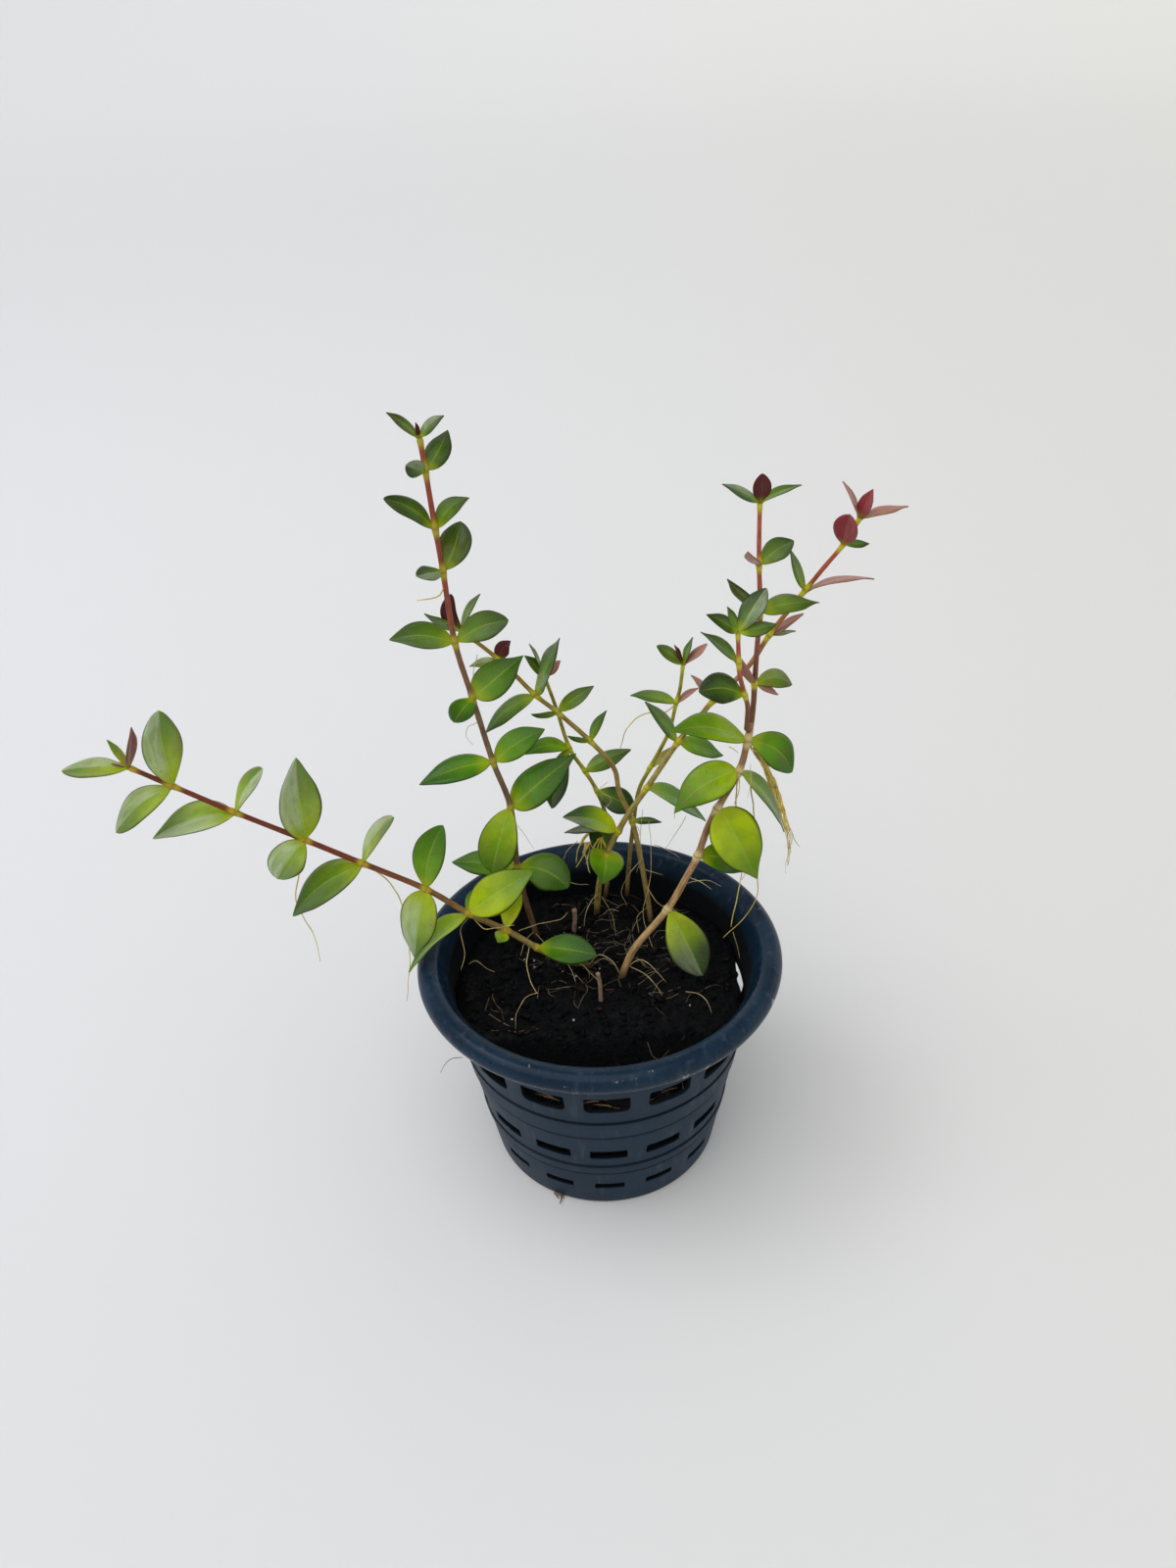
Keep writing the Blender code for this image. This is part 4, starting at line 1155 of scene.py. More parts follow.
# %% Fine roots read from the picture
FINE_ROOTS = [
    [(528, 842, 16), (534, 850, 14), (545, 866, 13)],
    [(487, 737, 15), (478, 742, 13), (476, 752, 12), (482, 760, 12)],
    [(487, 668, 28), (483, 690, 26), (496, 703, 25), (506, 700, 25)],
    [(483, 937, 1), (493, 948, -2), (504, 947, -3), (525, 944, -3)],
    [(529, 950, 1), (545, 944, 3), (559, 941, 4), (572, 938, 5), (579, 931, 6)],
    [(480, 934, 0), (470, 950, -3), (474, 975, -8), (470, 990, -11)],
    [(578, 982, 2), (584, 992, -2), (587, 1001, -4)],
    [(589, 982, 2), (600, 990, -3), (612, 1002, -7)],
    [(540, 965, 1), (538, 985, -5), (541, 1000, -9), (548, 1013, -12)],
    [(748, 951, 4), (752, 964, 2), (755, 978, 0)],
    [(754, 793, 2), (753, 811, -2), (749, 821, -3)],
    [(766, 780, 2), (766, 798, -2), (763, 815, -3)],
    [(703, 895, 0), (714, 899, -2), (726, 908, -3)],
    [(700, 833, 20), (685, 858, 18), (679, 865, 18)],
    [(645, 838, 26), (652, 846, 24), (651, 858, 23)],
    [(620, 798, 27), (612, 806, 25), (624, 816, 25), (616, 826, 24)],
    [(655, 876, 24), (642, 892, 22), (634, 910, 22), (640, 925, 22)],
    [(660, 905, 23), (672, 922, 20), (690, 930, 18), (700, 945, 14)],
    [(661, 925, 22), (650, 936, 19), (652, 952, 15)],
    [(640, 985, 0), (655, 992, -4), (668, 1003, -7), (676, 1016, -10)],
    [(638, 990, 0), (650, 980, -3), (664, 985, -6), (680, 1003, -9)],
    [(604, 985, 4), (616, 978, 2), (628, 985, 0)],
    [(546, 952, 17), (556, 962, 14), (566, 972, 10)],
    [(545, 950, 17), (536, 960, 14), (531, 975, 9)],
    [(612, 910, 27), (600, 925, 23), (596, 945, 19)],
    [(614, 915, 27), (625, 935, 23), (628, 955, 17)],
    [(590, 858, 31), (578, 870, 31), (573, 884, 31)],
    [(760, 870, 5), (764, 884, 3), (757, 898, 3)],
    [(806, 845, 12), (812, 858, 12), (816, 864, 12)],
    [(600, 985, 4), (612, 974, 2), (625, 981, 0), (632, 992, -2)],
    [(549, 1013, -20), (536, 1018, -20), (527, 1035, -23), (526, 1051, -25)],
    [(700, 1012, -18), (712, 1014, -17), (722, 1022, -19), (726, 1034, -21)],
    [(478, 984, 4), (486, 980, 3), (496, 988, 1), (505, 992, 0)],
    [(560, 884, 31), (572, 895, 33), (586, 902, 34), (601, 903, 34)],
    [(662, 838, 24), (664, 862, 23), (663, 900, 21), (656, 930, 18), (662, 955, 14), (668, 972, 8)],
    [(656, 826, 25), (653, 850, 24), (655, 872, 23), (649, 890, 22)],
    [(668, 862, 24), (682, 868, 24), (694, 876, 24)],
    [(652, 885, 30), (664, 889, 30), (676, 893, 30)],
    [(688, 909, 2), (705, 900, 0), (722, 898, -1), (736, 905, -2)],
    [(744, 762, 3), (748, 764, 2), (753, 768, 1)],
    [(614, 936, 27), (622, 928, 25), (631, 930, 24)],
    [(700, 815, 34), (690, 822, 33), (688, 835, 32)],
]
HAIR_RADII = (0.08, 0.13)

dice = random.Random(31)
shape = Shape()
for route in FINE_ROOTS:
    hair_root(shape, [sight_point(*place) for place in route], HAIR_RADII, dice)
fine_roots = shape.piece("fine_roots", "dry_fibre")
print("fine roots:", len(FINE_ROOTS))

# %% [markdown]
# Roots press against the wall inside and show through the slots as light threads. A few broken
# root ends lie at the pot's foot, and one hair sticks out under the rim on the left.

# %% Fibres in the slots and round the pot
THREADS_PER_SLOT = 4
THREAD_RADII = (0.08, 0.14)
THREAD_STEPS = 4
# how far a thread may start beside its slot in degrees, what it turns a step in radians, how deep it
# lies behind the wall's inner face, and how far its middle bends inward
THREAD_SPREAD = 6
THREAD_TURN = 0.028
THREAD_DEPTH = 0.45
THREAD_BEND = 0.25
# the root ends at the pot's foot: where each starts and which way it points, seen from above
FOOT_ENDS = (((-15.7, -29.0), (0.6, -0.7)), ((-14.8, -29.6), (0.8, -0.5)),
             ((-13.4, -30.2), (-0.3, -1.0)), ((-15.1, -29.3), (0.9, -0.3)))
RIM_HAIR = ((472, 1079, -20), (462, 1080, -22), (454, 1086, -24), (450, 1095, -25))

dice = random.Random(58)
shape = Shape()
low, high, *_ = SLOT_ROWS[0]
for number in range(SLOTS_PER_ROW * THREADS_PER_SLOT):
    slot_angle = SLOT_TURN - 90 + number // THREADS_PER_SLOT * 360 / SLOTS_PER_ROW
    angle = math.radians(slot_angle + dice.uniform(-THREAD_SPREAD, THREAD_SPREAD))
    height = dice.uniform(low + 0.3, high - 1.5)
    climb, turn_by = dice.uniform(-0.7, 0.7), dice.choice((-1, 1)) * THREAD_TURN
    route = []
    for step in range(THREAD_STEPS + 1):
        bend = THREAD_BEND * step * (THREAD_STEPS - step) / THREAD_STEPS
        radius = wall_radius(height) - WALL - THREAD_DEPTH - bend
        around = angle + turn_by * step
        route.append(Vector((radius * math.cos(around), radius * math.sin(around),
                             height + climb * step * 0.5)))
    hair_root(shape, route, THREAD_RADII, dice, wander=0.2)
for start, heading in FOOT_ENDS:
    first, away = Vector((*start, 0.9)), Vector((*heading, 0.0))
    route = [first, first + away * 1.2 + Vector((0, 0, -0.3)), first + away * 2.3 + Vector((0, 0, -0.5))]
    root(shape, route, (0.24, 0.2, 0.1), dice, wander=0.3)
root(shape, [sight_point(*place) for place in RIM_HAIR], (0.1, 0.1, 0.06), dice, sides=5)
slot_fibres = shape.piece("slot_fibres", "dry_fibre")
print("slot fibre faces:", len(slot_fibres.data.polygons))

# %% [markdown]
# More small roots wander over the wet peat, thickest round the feet of the stems. Seeded dice choose
# where each starts and how it bends, and every step is laid on the surface.

# %% Roots on the soil
SOIL_ROOTS = 80
SOIL_ROOT_RADII = (0.05, 0.11)
SOIL_ROOT_STEP = 2.2
# how close roots stay to the foot that they start from, as a share of the free spread
NEAR_FOOT = 0.35
STEM_FEET = [Vector((-2, 22, 0)), Vector((8, 4, 0)), Vector((-8, 4, 0)), Vector((12, 24, 0))]


def level_way(angle):
    return Vector((math.cos(angle), math.sin(angle), 0))


dice = random.Random(47)
shape = Shape()
for _ in range(SOIL_ROOTS):
    centre = dice.choice(STEM_FEET + [None])
    radius = soil_radius(SOIL_TOP) * math.sqrt(dice.random()) * 0.9
    spot = level_way(dice.uniform(0, AROUND)) * radius
    if centre:
        spot = centre + spot * NEAR_FOOT
    heading = dice.uniform(0, AROUND)
    bend = dice.uniform(-0.5, 0.5)
    route = []
    for step in range(dice.randrange(4, 9)):
        if spot.length > soil_radius(SOIL_TOP) - 1.5:
            break
        route.append(Vector((spot.x, spot.y, soil_surface(spot.x, spot.y) + dice.uniform(-0.2, 0.8))))
        heading += bend + dice.uniform(-0.5, 0.5)
        spot = spot + level_way(heading) * SOIL_ROOT_STEP
    if len(route) > 2:
        hair_root(shape, route, SOIL_ROOT_RADII, dice, end=0.5, wander=0.3, step=1.0)
soil_roots = shape.piece("soil_roots", "dry_fibre")
print("soil root faces:", len(soil_roots.data.polygons))

# %% [markdown]
# Two dry stubs of old cut stems stand in the peat. A short rod with a slightly uneven radius is
# enough for each.

# %% Dry stubs
STUB_SIDES = 11
STUB_RING = 0.6
STUB_PLANTED = 2.0

stub_pieces = []
for name, (foot, top, radius) in STUBS.items():
    low, high = sight_point(*foot), sight_point(*top)
    middle = (low + high) / 2 + Vector((0.2, 0, 0))
    route = smooth_route([low - Vector((0, 0, STUB_PLANTED)), low, middle, high], STUB_RING)
    radii = [radius * (0.78 + 0.12 * noise.noise(point)) for point in route]
    shape = Shape()
    tube(shape, route, radii, STUB_SIDES, [(0.1, 0.0, 0.5, 1.0)] * len(route))
    piece = shape.piece("old_" + name, "dry_fibre")
    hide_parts(name)
    stub_pieces.append(piece)
print("stubs:", len(stub_pieces))

# %% [markdown]
# Materials. Colours are written as they look on a screen, from 0 to 255, and turned into the linear
# values that the shader needs. A small helper places a node, sets its plain values and links the
# ones that come from another node, which keeps the recipes short.

# %% Node helpers


def paint(red, green, blue):
    """A screen colour from 0 to 255 as the linear colour of a shader."""
    return tuple(((value / 255 + 0.055) / 1.055) ** 2.4 if value > 10 else value / 255 / 12.92
                 for value in (red, green, blue)) + (1.0,)


def place(tree, kind, values=None, **settings):
    """A new node; values go to its sockets, and are either plain or an output of another node."""
    node = tree.nodes.new(kind)
    for name, value in settings.items():
        setattr(node, name, value)
    for key, value in (values or {}).items():
        if isinstance(value, bpy.types.NodeSocket):
            tree.links.new(value, node.inputs[key])
        else:
            node.inputs[key].default_value = value
    return node


def sum_of(tree, operation, *values, clamp=False):
    """Result of a Math node."""
    return place(tree, "ShaderNodeMath", dict(enumerate(values)), operation=operation,
                 use_clamp=clamp).outputs[0]


def times(tree, first, second):
    return sum_of(tree, "MULTIPLY", first, second)


def times_plus(tree, value, factor, extra, clamp=False):
    """The value times the factor, plus the extra."""
    return sum_of(tree, "MULTIPLY_ADD", value, factor, extra, clamp=clamp)


def smooth_step(tree, value, start, end):
    """0 at start and 1 at end, with a soft rise between; start may be the larger one."""
    return place(tree, "ShaderNodeMapRange", {"Value": value, "From Min": start, "From Max": end},
                 interpolation_type="SMOOTHSTEP").outputs[0]


def blend_colours(tree, share, first, second):
    return place(tree, "ShaderNodeMix", {0: share, 6: first, 7: second}, data_type="RGBA").outputs[2]


def layer(tree, colour, over, mask, strength=None):
    """A screen colour laid over another one where a mask says, at a share of its full strength."""
    share = mask if strength is None else times(tree, mask, strength)
    return blend_colours(tree, share, colour, paint(*over))


print("white as the shader sees it:", paint(255, 255, 255))

# %% Places, carried values and materials


def noise_cloud(tree, spot, scale, detail):
    values = {"Vector": spot, "Scale": scale, "Detail": detail}
    return place(tree, "ShaderNodeTexNoise", values).outputs["Fac"]


def object_spot(tree):
    return place(tree, "ShaderNodeTexCoord").outputs["Object"]


def axes_of(tree, vector):
    return place(tree, "ShaderNodeSeparateXYZ", {"Vector": vector}).outputs


def carried_uv(tree):
    return place(tree, "ShaderNodeUVMap", uv_map="along").outputs[0]


def carried_tone(tree):
    """Red, green, blue and alpha of the tone colour that a piece carries."""
    tone = place(tree, "ShaderNodeAttribute", attribute_name="tone")
    channel = place(tree, "ShaderNodeSeparateColor", {"Color": tone.outputs["Color"]})
    return [channel.outputs[name] for name in ("Red", "Green", "Blue")] + [tone.outputs["Alpha"]]


def connect(tree, node, **sources):
    """Links outputs to a node; an underscore stands for a space in a socket's name."""
    for key, source in sources.items():
        tree.links.new(source, node.inputs[key.replace("_", " ")])


def new_material(name, roughness=0.5, **values):
    """A material's tree and shader, with the plain values set on the shader's own sockets."""
    material = bpy.data.materials.new(name)
    material.use_nodes = True
    shader = material.node_tree.nodes["Principled BSDF"]
    shader.inputs["Roughness"].default_value = roughness
    for key, value in values.items():
        shader.inputs[key.replace("_", " ")].default_value = value
    return material, material.node_tree, shader


def finish_pieces(material, *pieces):
    for piece in pieces:
        piece.data.materials.append(material)
    return material


print("materials so far:", len(bpy.data.materials))

# %% [markdown]
# Blotches and fine relief are needed by nearly every finish, so each is made once as a node group
# and used by all. The groups give masks and normals, and each material decides what to do with them.

# %% Shared effects


def effect_group(name, inputs, outputs):
    """An empty node group: inputs with their first values, outputs with their kind of value."""
    group = bpy.data.node_groups.new(name, "ShaderNodeTree")
    for label, value in inputs.items():
        kind = "NodeSocketVector" if isinstance(value, tuple) else "NodeSocketFloat"
        group.interface.new_socket(label, in_out="INPUT", socket_type=kind).default_value = value
    for label, kind in outputs.items():
        group.interface.new_socket(label, in_out="OUTPUT", socket_type="NodeSocket" + kind)
    return group, group.nodes.new("NodeGroupInput").outputs, group.nodes.new("NodeGroupOutput")


def mottle_group():
    """Soft patches at a scale of the caller's choice."""
    group, given, result = effect_group("Mottle", {"Scale": 200.0, "Low": 0.35, "High": 0.65},
                                        {"Mask": "Float"})
    cloud = noise_cloud(group, object_spot(group), given["Scale"], 4.0)
    connect(group, result, Mask=smooth_step(group, cloud, given["Low"], given["High"]))
    return group


def relief_group():
    """Fine uneven skin as a normal; Depth is in metres."""
    group, given, result = effect_group("Fine relief", {"Scale": 900.0, "Strength": 0.3, "Depth": 0.0002},
                                        {"Normal": "Vector"})
    cloud = noise_cloud(group, object_spot(group), given["Scale"], 5.0)
    bump = place(group, "ShaderNodeBump", {"Height": cloud, "Strength": given["Strength"],
                                           "Distance": given["Depth"]})
    connect(group, result, Normal=bump.outputs["Normal"])
    return group


MOTTLE = mottle_group()
RELIEF = relief_group()


def effect(tree, group, values):
    """An effect group placed in a tree with its own values."""
    return place(tree, "ShaderNodeGroup", values, node_tree=group).outputs


def mottle(tree, scale, low=0.35, high=0.65):
    return effect(tree, MOTTLE, {"Scale": scale, "Low": low, "High": high})["Mask"]


def relief(tree, scale, strength, depth):
    return effect(tree, RELIEF, {"Scale": scale, "Strength": strength, "Depth": depth})["Normal"]


print("shared effects:", MOTTLE.name, "and", RELIEF.name)

# %% [markdown]
# The leaf is glossy and changes over its length: yellow-green by the stalk, deeper and bluer at the tip, with
# a pale midrib, faint side veins and a thin dark edge. A texture that is wrapped round the leaf would need a
# picture, so the material reads two things that the blades carry: uv, across and along the leaf, and the tone
# colour, whose channels say how yellow, how maroon and how dark a leaf is. Alpha is 1 on the underside, and
# half the strength of the painted sheen on the upper side: a grey film of painted reflection in streaks over
# one half, with a faint painted grey where the leaf is seen edge-on.

# %% Leaf veins
SIDE_VEINS = 88.0
FAR_APART = (90.0, 90.0, 90.0)


def vein_group():
    """Masks of a leaf from its across and along values; the painted sheen, a painted reflection, covers one
    half in streaks.
    """
    masks = ("Out", "Midrib", "Veins", "Edge", "Sheen")
    group, given, result = effect_group("Leaf veins", {"Across": 0.5, "Along": 0.5},
                                        dict.fromkeys(masks, "Float"))
    across, along = given["Across"], given["Along"]
    centred = sum_of(group, "SUBTRACT", across, 0.5)
    out = times(group, sum_of(group, "ABSOLUTE", centred), 2.0)
    taper = times_plus(group, along, -0.08, 0.12)
    midrib = sum_of(group, "SUBTRACT", 1.0, sum_of(group, "DIVIDE", out, taper), clamp=True)
    slant = times_plus(group, out, -0.16, along)
    veins = smooth_step(group, sum_of(group, "SINE", times(group, slant, SIDE_VEINS)), 0.72, 1.0)
    veins = times(group, veins, sum_of(group, "SUBTRACT", 1.0, out, clamp=True))
    edge = smooth_step(group, out, 0.9, 1.0)
    # painted reflection: streaks along the leaf, strongest on one half and fading towards the stalk
    strip = place(group, "ShaderNodeCombineXYZ", {"X": times(group, across, 7.0),
                                                  "Y": times(group, slant, 3.0)})
    shifted = place(group, "ShaderNodeVectorMath", {0: object_spot(group), 1: FAR_APART, 2: strip.outputs[0]},
                    operation="MULTIPLY_ADD")
    streak = smooth_step(group, noise_cloud(group, shifted.outputs[0], 1.0, 3.0), 0.36, 0.62)
    half = smooth_step(group, centred, -0.03, 0.04)
    painted_sheen_mask = times(group, times_plus(group, streak, 0.45, 0.55), times_plus(group, half, 0.8, 0.2))
    painted_sheen_mask = times(group, painted_sheen_mask, smooth_step(group, along, 0.02, 0.35))
    connect(group, result, Out=out, Midrib=midrib, Veins=veins, Edge=edge, Sheen=painted_sheen_mask)
    return group


VEINS = vein_group()
print("vein outputs:", [item.name for item in VEINS.interface.items_tree if item.in_out == "OUTPUT"])

# %% Leaf material


def leaf_colour(tree, yellow, red, dark, painted_sheen, under, along, vein):
    """All the colours of a leaf, from its ground colour to the specks on its face, with a painted sheen that
    stands for reflected light.
    """
    green = blend_colours(tree, dark, paint(80, 146, 0), paint(36, 62, 6))
    green = layer(tree, green, (206, 216, 0), yellow)
    green = layer(tree, green, (120, 170, 2), smooth_step(tree, vein["Out"], 0.75, 0.0), 0.3)
    tipward = blend_colours(tree, dark, paint(28, 92, 0), paint(18, 32, 12))
    tipward = layer(tree, tipward, (110, 146, 0), yellow, 0.6)
    green = blend_colours(tree, times(tree, smooth_step(tree, along, 0.2, 0.9), 0.85), green, tipward)
    stalk = times(tree, smooth_step(tree, along, 0.28, 0.0), 0.5)
    green = layer(tree, green, (168, 184, 10), stalk)
    green = layer(tree, green, (52, 92, 4), mottle(tree, 260.0, 0.38, 0.66), 0.25)
    flush = smooth_step(tree, times_plus(tree, mottle(tree, 420.0), 0.3, red), 0.15, 0.95)
    rosy = blend_colours(tree, yellow, paint(134, 42, 56), paint(172, 124, 104))
    rosy = layer(tree, rosy, (70, 22, 24), dark)
    colour = blend_colours(tree, flush, green, rosy)
    colour = layer(tree, colour, (150, 164, 24), stalk, 0.9)
    colour = layer(tree, colour, (150, 170, 50), vein["Veins"], 0.1)
    pale_rib = times(tree, vein["Midrib"], times_plus(tree, flush, -0.24, 0.36))
    colour = layer(tree, colour, (166, 182, 70), pale_rib)
    # painted reflection: a grey film in streaks where the leaf carries painted sheen, and a faint grey where
    # it is seen edge-on
    facing = place(tree, "ShaderNodeLayerWeight", {"Blend": 0.5}).outputs["Facing"]
    painted_sheen_share = times(tree, painted_sheen, times(tree, vein["Sheen"], 0.72))
    painted_sheen_share = times_plus(tree, smooth_step(tree, facing, 0.3, 0.9), 0.06, painted_sheen_share, clamp=True)
    painted_sheen_colour = blend_colours(tree, flush, paint(184, 198, 164), paint(190, 132, 128))
    colour = blend_colours(tree, painted_sheen_share, colour, painted_sheen_colour)
    colour = layer(tree, colour, (40, 44, 24), vein["Edge"], 0.75)
    below = blend_colours(tree, flush, paint(150, 160, 112), paint(172, 112, 104))
    colour = blend_colours(tree, times(tree, under, 0.75), colour, below)
    specks = smooth_step(tree, mottle(tree, 1500.0, 0.0, 1.0), 0.74, 0.82)
    return layer(tree, colour, (60, 44, 26), specks, 0.5)


def leaf_material():
    material, tree, shader = new_material("glossy leaf", 0.3, Coat_Roughness=0.15, Specular_IOR_Level=0.06)
    yellow, red, dark, alpha = carried_tone(tree)
    under = smooth_step(tree, alpha, 0.6, 0.9)
    # strength of the painted sheen, a painted reflection, from alpha on the upper side
    painted_sheen = times_plus(tree, alpha, 2.0, 0.0, clamp=True)
    spot = axes_of(tree, carried_uv(tree))
    vein = effect(tree, VEINS, {"Across": spot["X"], "Along": spot["Y"]})
    colour = leaf_colour(tree, yellow, red, dark, painted_sheen, under, spot["Y"], vein)
    worn = times_plus(tree, mottle(tree, 700.0), 0.16, 0.27)
    ribs = times_plus(tree, vein["Veins"], -0.35, times(tree, vein["Midrib"], -1.0))
    height = times_plus(tree, noise_cloud(tree, object_spot(tree), 1300.0, 3.0), 0.5, ribs)
    bump = place(tree, "ShaderNodeBump", {"Height": height, "Strength": 0.5, "Distance": 0.00025})
    connect(tree, shader, Base_Color=colour, Roughness=times_plus(tree, under, 0.22, worn),
            Coat_Weight=times_plus(tree, under, -0.18, 0.22), Normal=bump.outputs["Normal"])
    return material


finish_pieces(leaf_material(), *leaf_pieces)
print("leaves finished:", len(leaf_pieces))

# %% [markdown]
# Stems are shiny, a little ribbed along their length, and coloured by age: the foot is woody brown,
# the young end is green or red, and each node wears a pale yellow-green collar. One recipe takes
# three colours for each kind of bark. Its along and node values come from the tone colour.

# %% Stem materials
# colours of the foot, the tip and the collars, and the shares of the stem where the colour turns
BARKS = {
    "brown": ((122, 96, 68), (150, 70, 54), (172, 162, 40), 0.56, 0.82),
    "straw": ((168, 152, 80), (176, 84, 58), (196, 190, 40), 0.5, 0.95),
    "olive": ((150, 130, 78), (156, 132, 52), (184, 178, 50), 0.1, 0.9),
    "green": ((150, 128, 78), (164, 158, 50), (190, 194, 50), 0.1, 0.7),
    "tan": ((184, 152, 104), (150, 112, 80), (202, 182, 124), 0.2, 0.8),
    "red": ((150, 138, 72), (118, 54, 34), (182, 158, 44), 0.1, 0.6),
    "rosy": ((120, 80, 58), (180, 92, 72), (194, 190, 40), 0.15, 0.7),
}
SOAKED = (34, 26, 20)
LINE_STRETCH = (11.0, 1.6, 1.0)


def stem_material(name, foot, top, collar, turns_from, turns_to):
    material, tree, shader = new_material(name, 0.36, Coat_Roughness=0.2, Specular_IOR_Level=0.16,
                                          Coat_Weight=0.06)
    share, node, uneven, above_soil = carried_tone(tree)
    age = smooth_step(tree, times_plus(tree, uneven, 0.2, share), turns_from + 0.1, turns_to + 0.1)
    colour = blend_colours(tree, age, paint(*foot), paint(*top))
    grown = place(tree, "ShaderNodeMapping", {"Vector": carried_uv(tree), "Scale": LINE_STRETCH})
    lines = smooth_step(tree, noise_cloud(tree, grown.outputs[0], 1.0, 3.0), 0.48, 0.62)
    colour = layer(tree, colour, (78, 50, 30), lines, 0.55)
    streaks = mottle(tree, 480.0, 0.42, 0.62)
    colour = layer(tree, colour, (84, 52, 34), streaks, 0.2)
    colour = layer(tree, colour, collar, smooth_step(tree, node, 0.1, 0.8), 0.85)
    colour = layer(tree, colour, (110, 76, 44), smooth_step(tree, node, 0.9, 1.0), 0.5)
    colour = layer(tree, colour, (52, 36, 24), mottle(tree, 1400.0, 0.6, 0.72), 0.4)
    colour = layer(tree, colour, SOAKED, smooth_step(tree, above_soil, 1.0, 0.0), 0.8)
    connect(tree, shader, Base_Color=colour, Roughness=times_plus(tree, streaks, 0.2, 0.3),
            Normal=relief(tree, 1100.0, 0.35, 0.0002))
    return material


bark_finish = {bark: stem_material(bark + " stem skin", *colours) for bark, colours in BARKS.items()}
for name, piece in stem_pieces.items():
    finish_pieces(bark_finish[(STEMS.get(name) or BRANCHES[name])["bark"]], piece)
print("barks:", ", ".join(bark_finish))

# %% [markdown]
# A fresh root is pale and yellowish, an old one brown, and a dead stub grey. They differ only in
# colour, roughness and dirt, so one recipe and a table of five rows finish them all.

# %% Root and dry stub materials


def fibre_material(name, light, deep, roughness, dirt):
    """Pale roots or dry wood: two colours in patches, with dark dirt on part of them."""
    material, tree, shader = new_material(name, roughness)
    shade = carried_tone(tree)[0]
    share = times_plus(tree, mottle(tree, 380.0), 0.5, times(tree, shade, 0.5))
    colour = blend_colours(tree, share, paint(*light), paint(*deep))
    colour = layer(tree, colour, (40, 28, 20), mottle(tree, 150.0, 0.5, 0.7), dirt)
    connect(tree, shader, Base_Color=colour, Normal=relief(tree, 1600.0, 0.4, 0.0002))
    return material


FIBRES = (
    ("pale root", (236, 214, 112), (184, 158, 52), 0.5, 0.15, root_pieces),
    ("thin root", (212, 196, 136), (146, 126, 76), 0.5, 0.3, [fine_roots]),
    ("old root", (142, 124, 96), (66, 50, 38), 0.7, 0.75, [soil_roots]),
    ("dark root", (130, 104, 68), (64, 50, 36), 0.7, 0.35, [slot_fibres]),
    ("dry wood", (150, 122, 98), (96, 74, 58), 0.8, 0.5, stub_pieces))
for *recipe, pieces in FIBRES:
    finish_pieces(fibre_material(*recipe), *pieces)
print("root and wood finishes:", len(FIBRES))

# %% [markdown]
# Wet peat is almost black, and only its damp crumbs catch a cold highlight. So the colour stays
# close to black and the gloss changes in patches. Bark chips are the same mix in a reddish brown,
# and the grains are white.

# %% Peat, chip and grain materials
DRY_ROUGHNESS = 0.85


def peat_material(name, deep, lit, share, damp):
    """Crumbly stuff: deep and lit colours in fine patches; damp is the roughness of the wet places."""
    material, tree, shader = new_material(name, 0.8, Specular_IOR_Level=0.1)
    fine = mottle(tree, 900.0, 0.45, 0.7)
    broad = mottle(tree, 160.0, 0.4, 0.65)
    colour = layer(tree, layer(tree, paint(*deep), lit, fine, share), deep, broad, 0.4)
    wet = times(tree, broad, mottle(tree, 420.0, 0.4, 0.6))
    connect(tree, shader, Base_Color=colour, Normal=relief(tree, 1500.0, 0.8, 0.0006),
            Roughness=times_plus(tree, wet, damp - DRY_ROUGHNESS, DRY_ROUGHNESS))
    return material


peat_finish = finish_pieces(peat_material("damp peat", (2, 3, 5), (19, 17, 17), 0.6, 0.35), soil, crumbs)
finish_pieces(peat_material("bark chip", (12, 9, 9), (58, 38, 30), 0.7, 0.5), chips)
finish_pieces(peat_material("white grain", (150, 150, 146), (214, 214, 208), 1.0, 0.6), grains)
print("peat finish:", peat_finish.name)

# %% [markdown]
# The pot is thin, satin, blue-black plastic that has been handled: dust dulls the wall, the rim is scuffed
# pale along its lower edge, and soil has dried in thin marks. Dust, scuffs and dirt come from noise and from
# the height on the pot, so they go all round. Only the dried marks are given one by one, on the side of the
# rim that the picture shows.

# %% Bands and patches


def height_band(tree, height, low, high, blur):
    """1 between two heights in millimetres, with soft ends."""
    rise = smooth_step(tree, height, (low - blur) * MM, (low + blur) * MM)
    return times(tree, rise, smooth_step(tree, height, (high + blur) * MM, (high - blur) * MM))


def spot_group():
    """A ragged patch round a point: Centre in metres, Reach in metres."""
    group, given, result = effect_group("Ragged patch", {"Centre": (0.0, 0.0, 0.0), "Reach": 0.002},
                                        {"Mask": "Float"})
    here = object_spot(group)
    away = place(group, "ShaderNodeVectorMath", {0: here, 1: given["Centre"]}, operation="DISTANCE")
    share = sum_of(group, "DIVIDE", away.outputs["Value"], given["Reach"])
    torn = noise_cloud(group, here, 900.0, 4.0)
    share = times_plus(group, torn, 3.2, sum_of(group, "SUBTRACT", share, 1.6))
    connect(group, result, Mask=smooth_step(group, share, 0.75, 0.45))
    return group


RAGGED = spot_group()
print("patch inputs:", [item.name for item in RAGGED.interface.items_tree if item.in_out == "INPUT"])

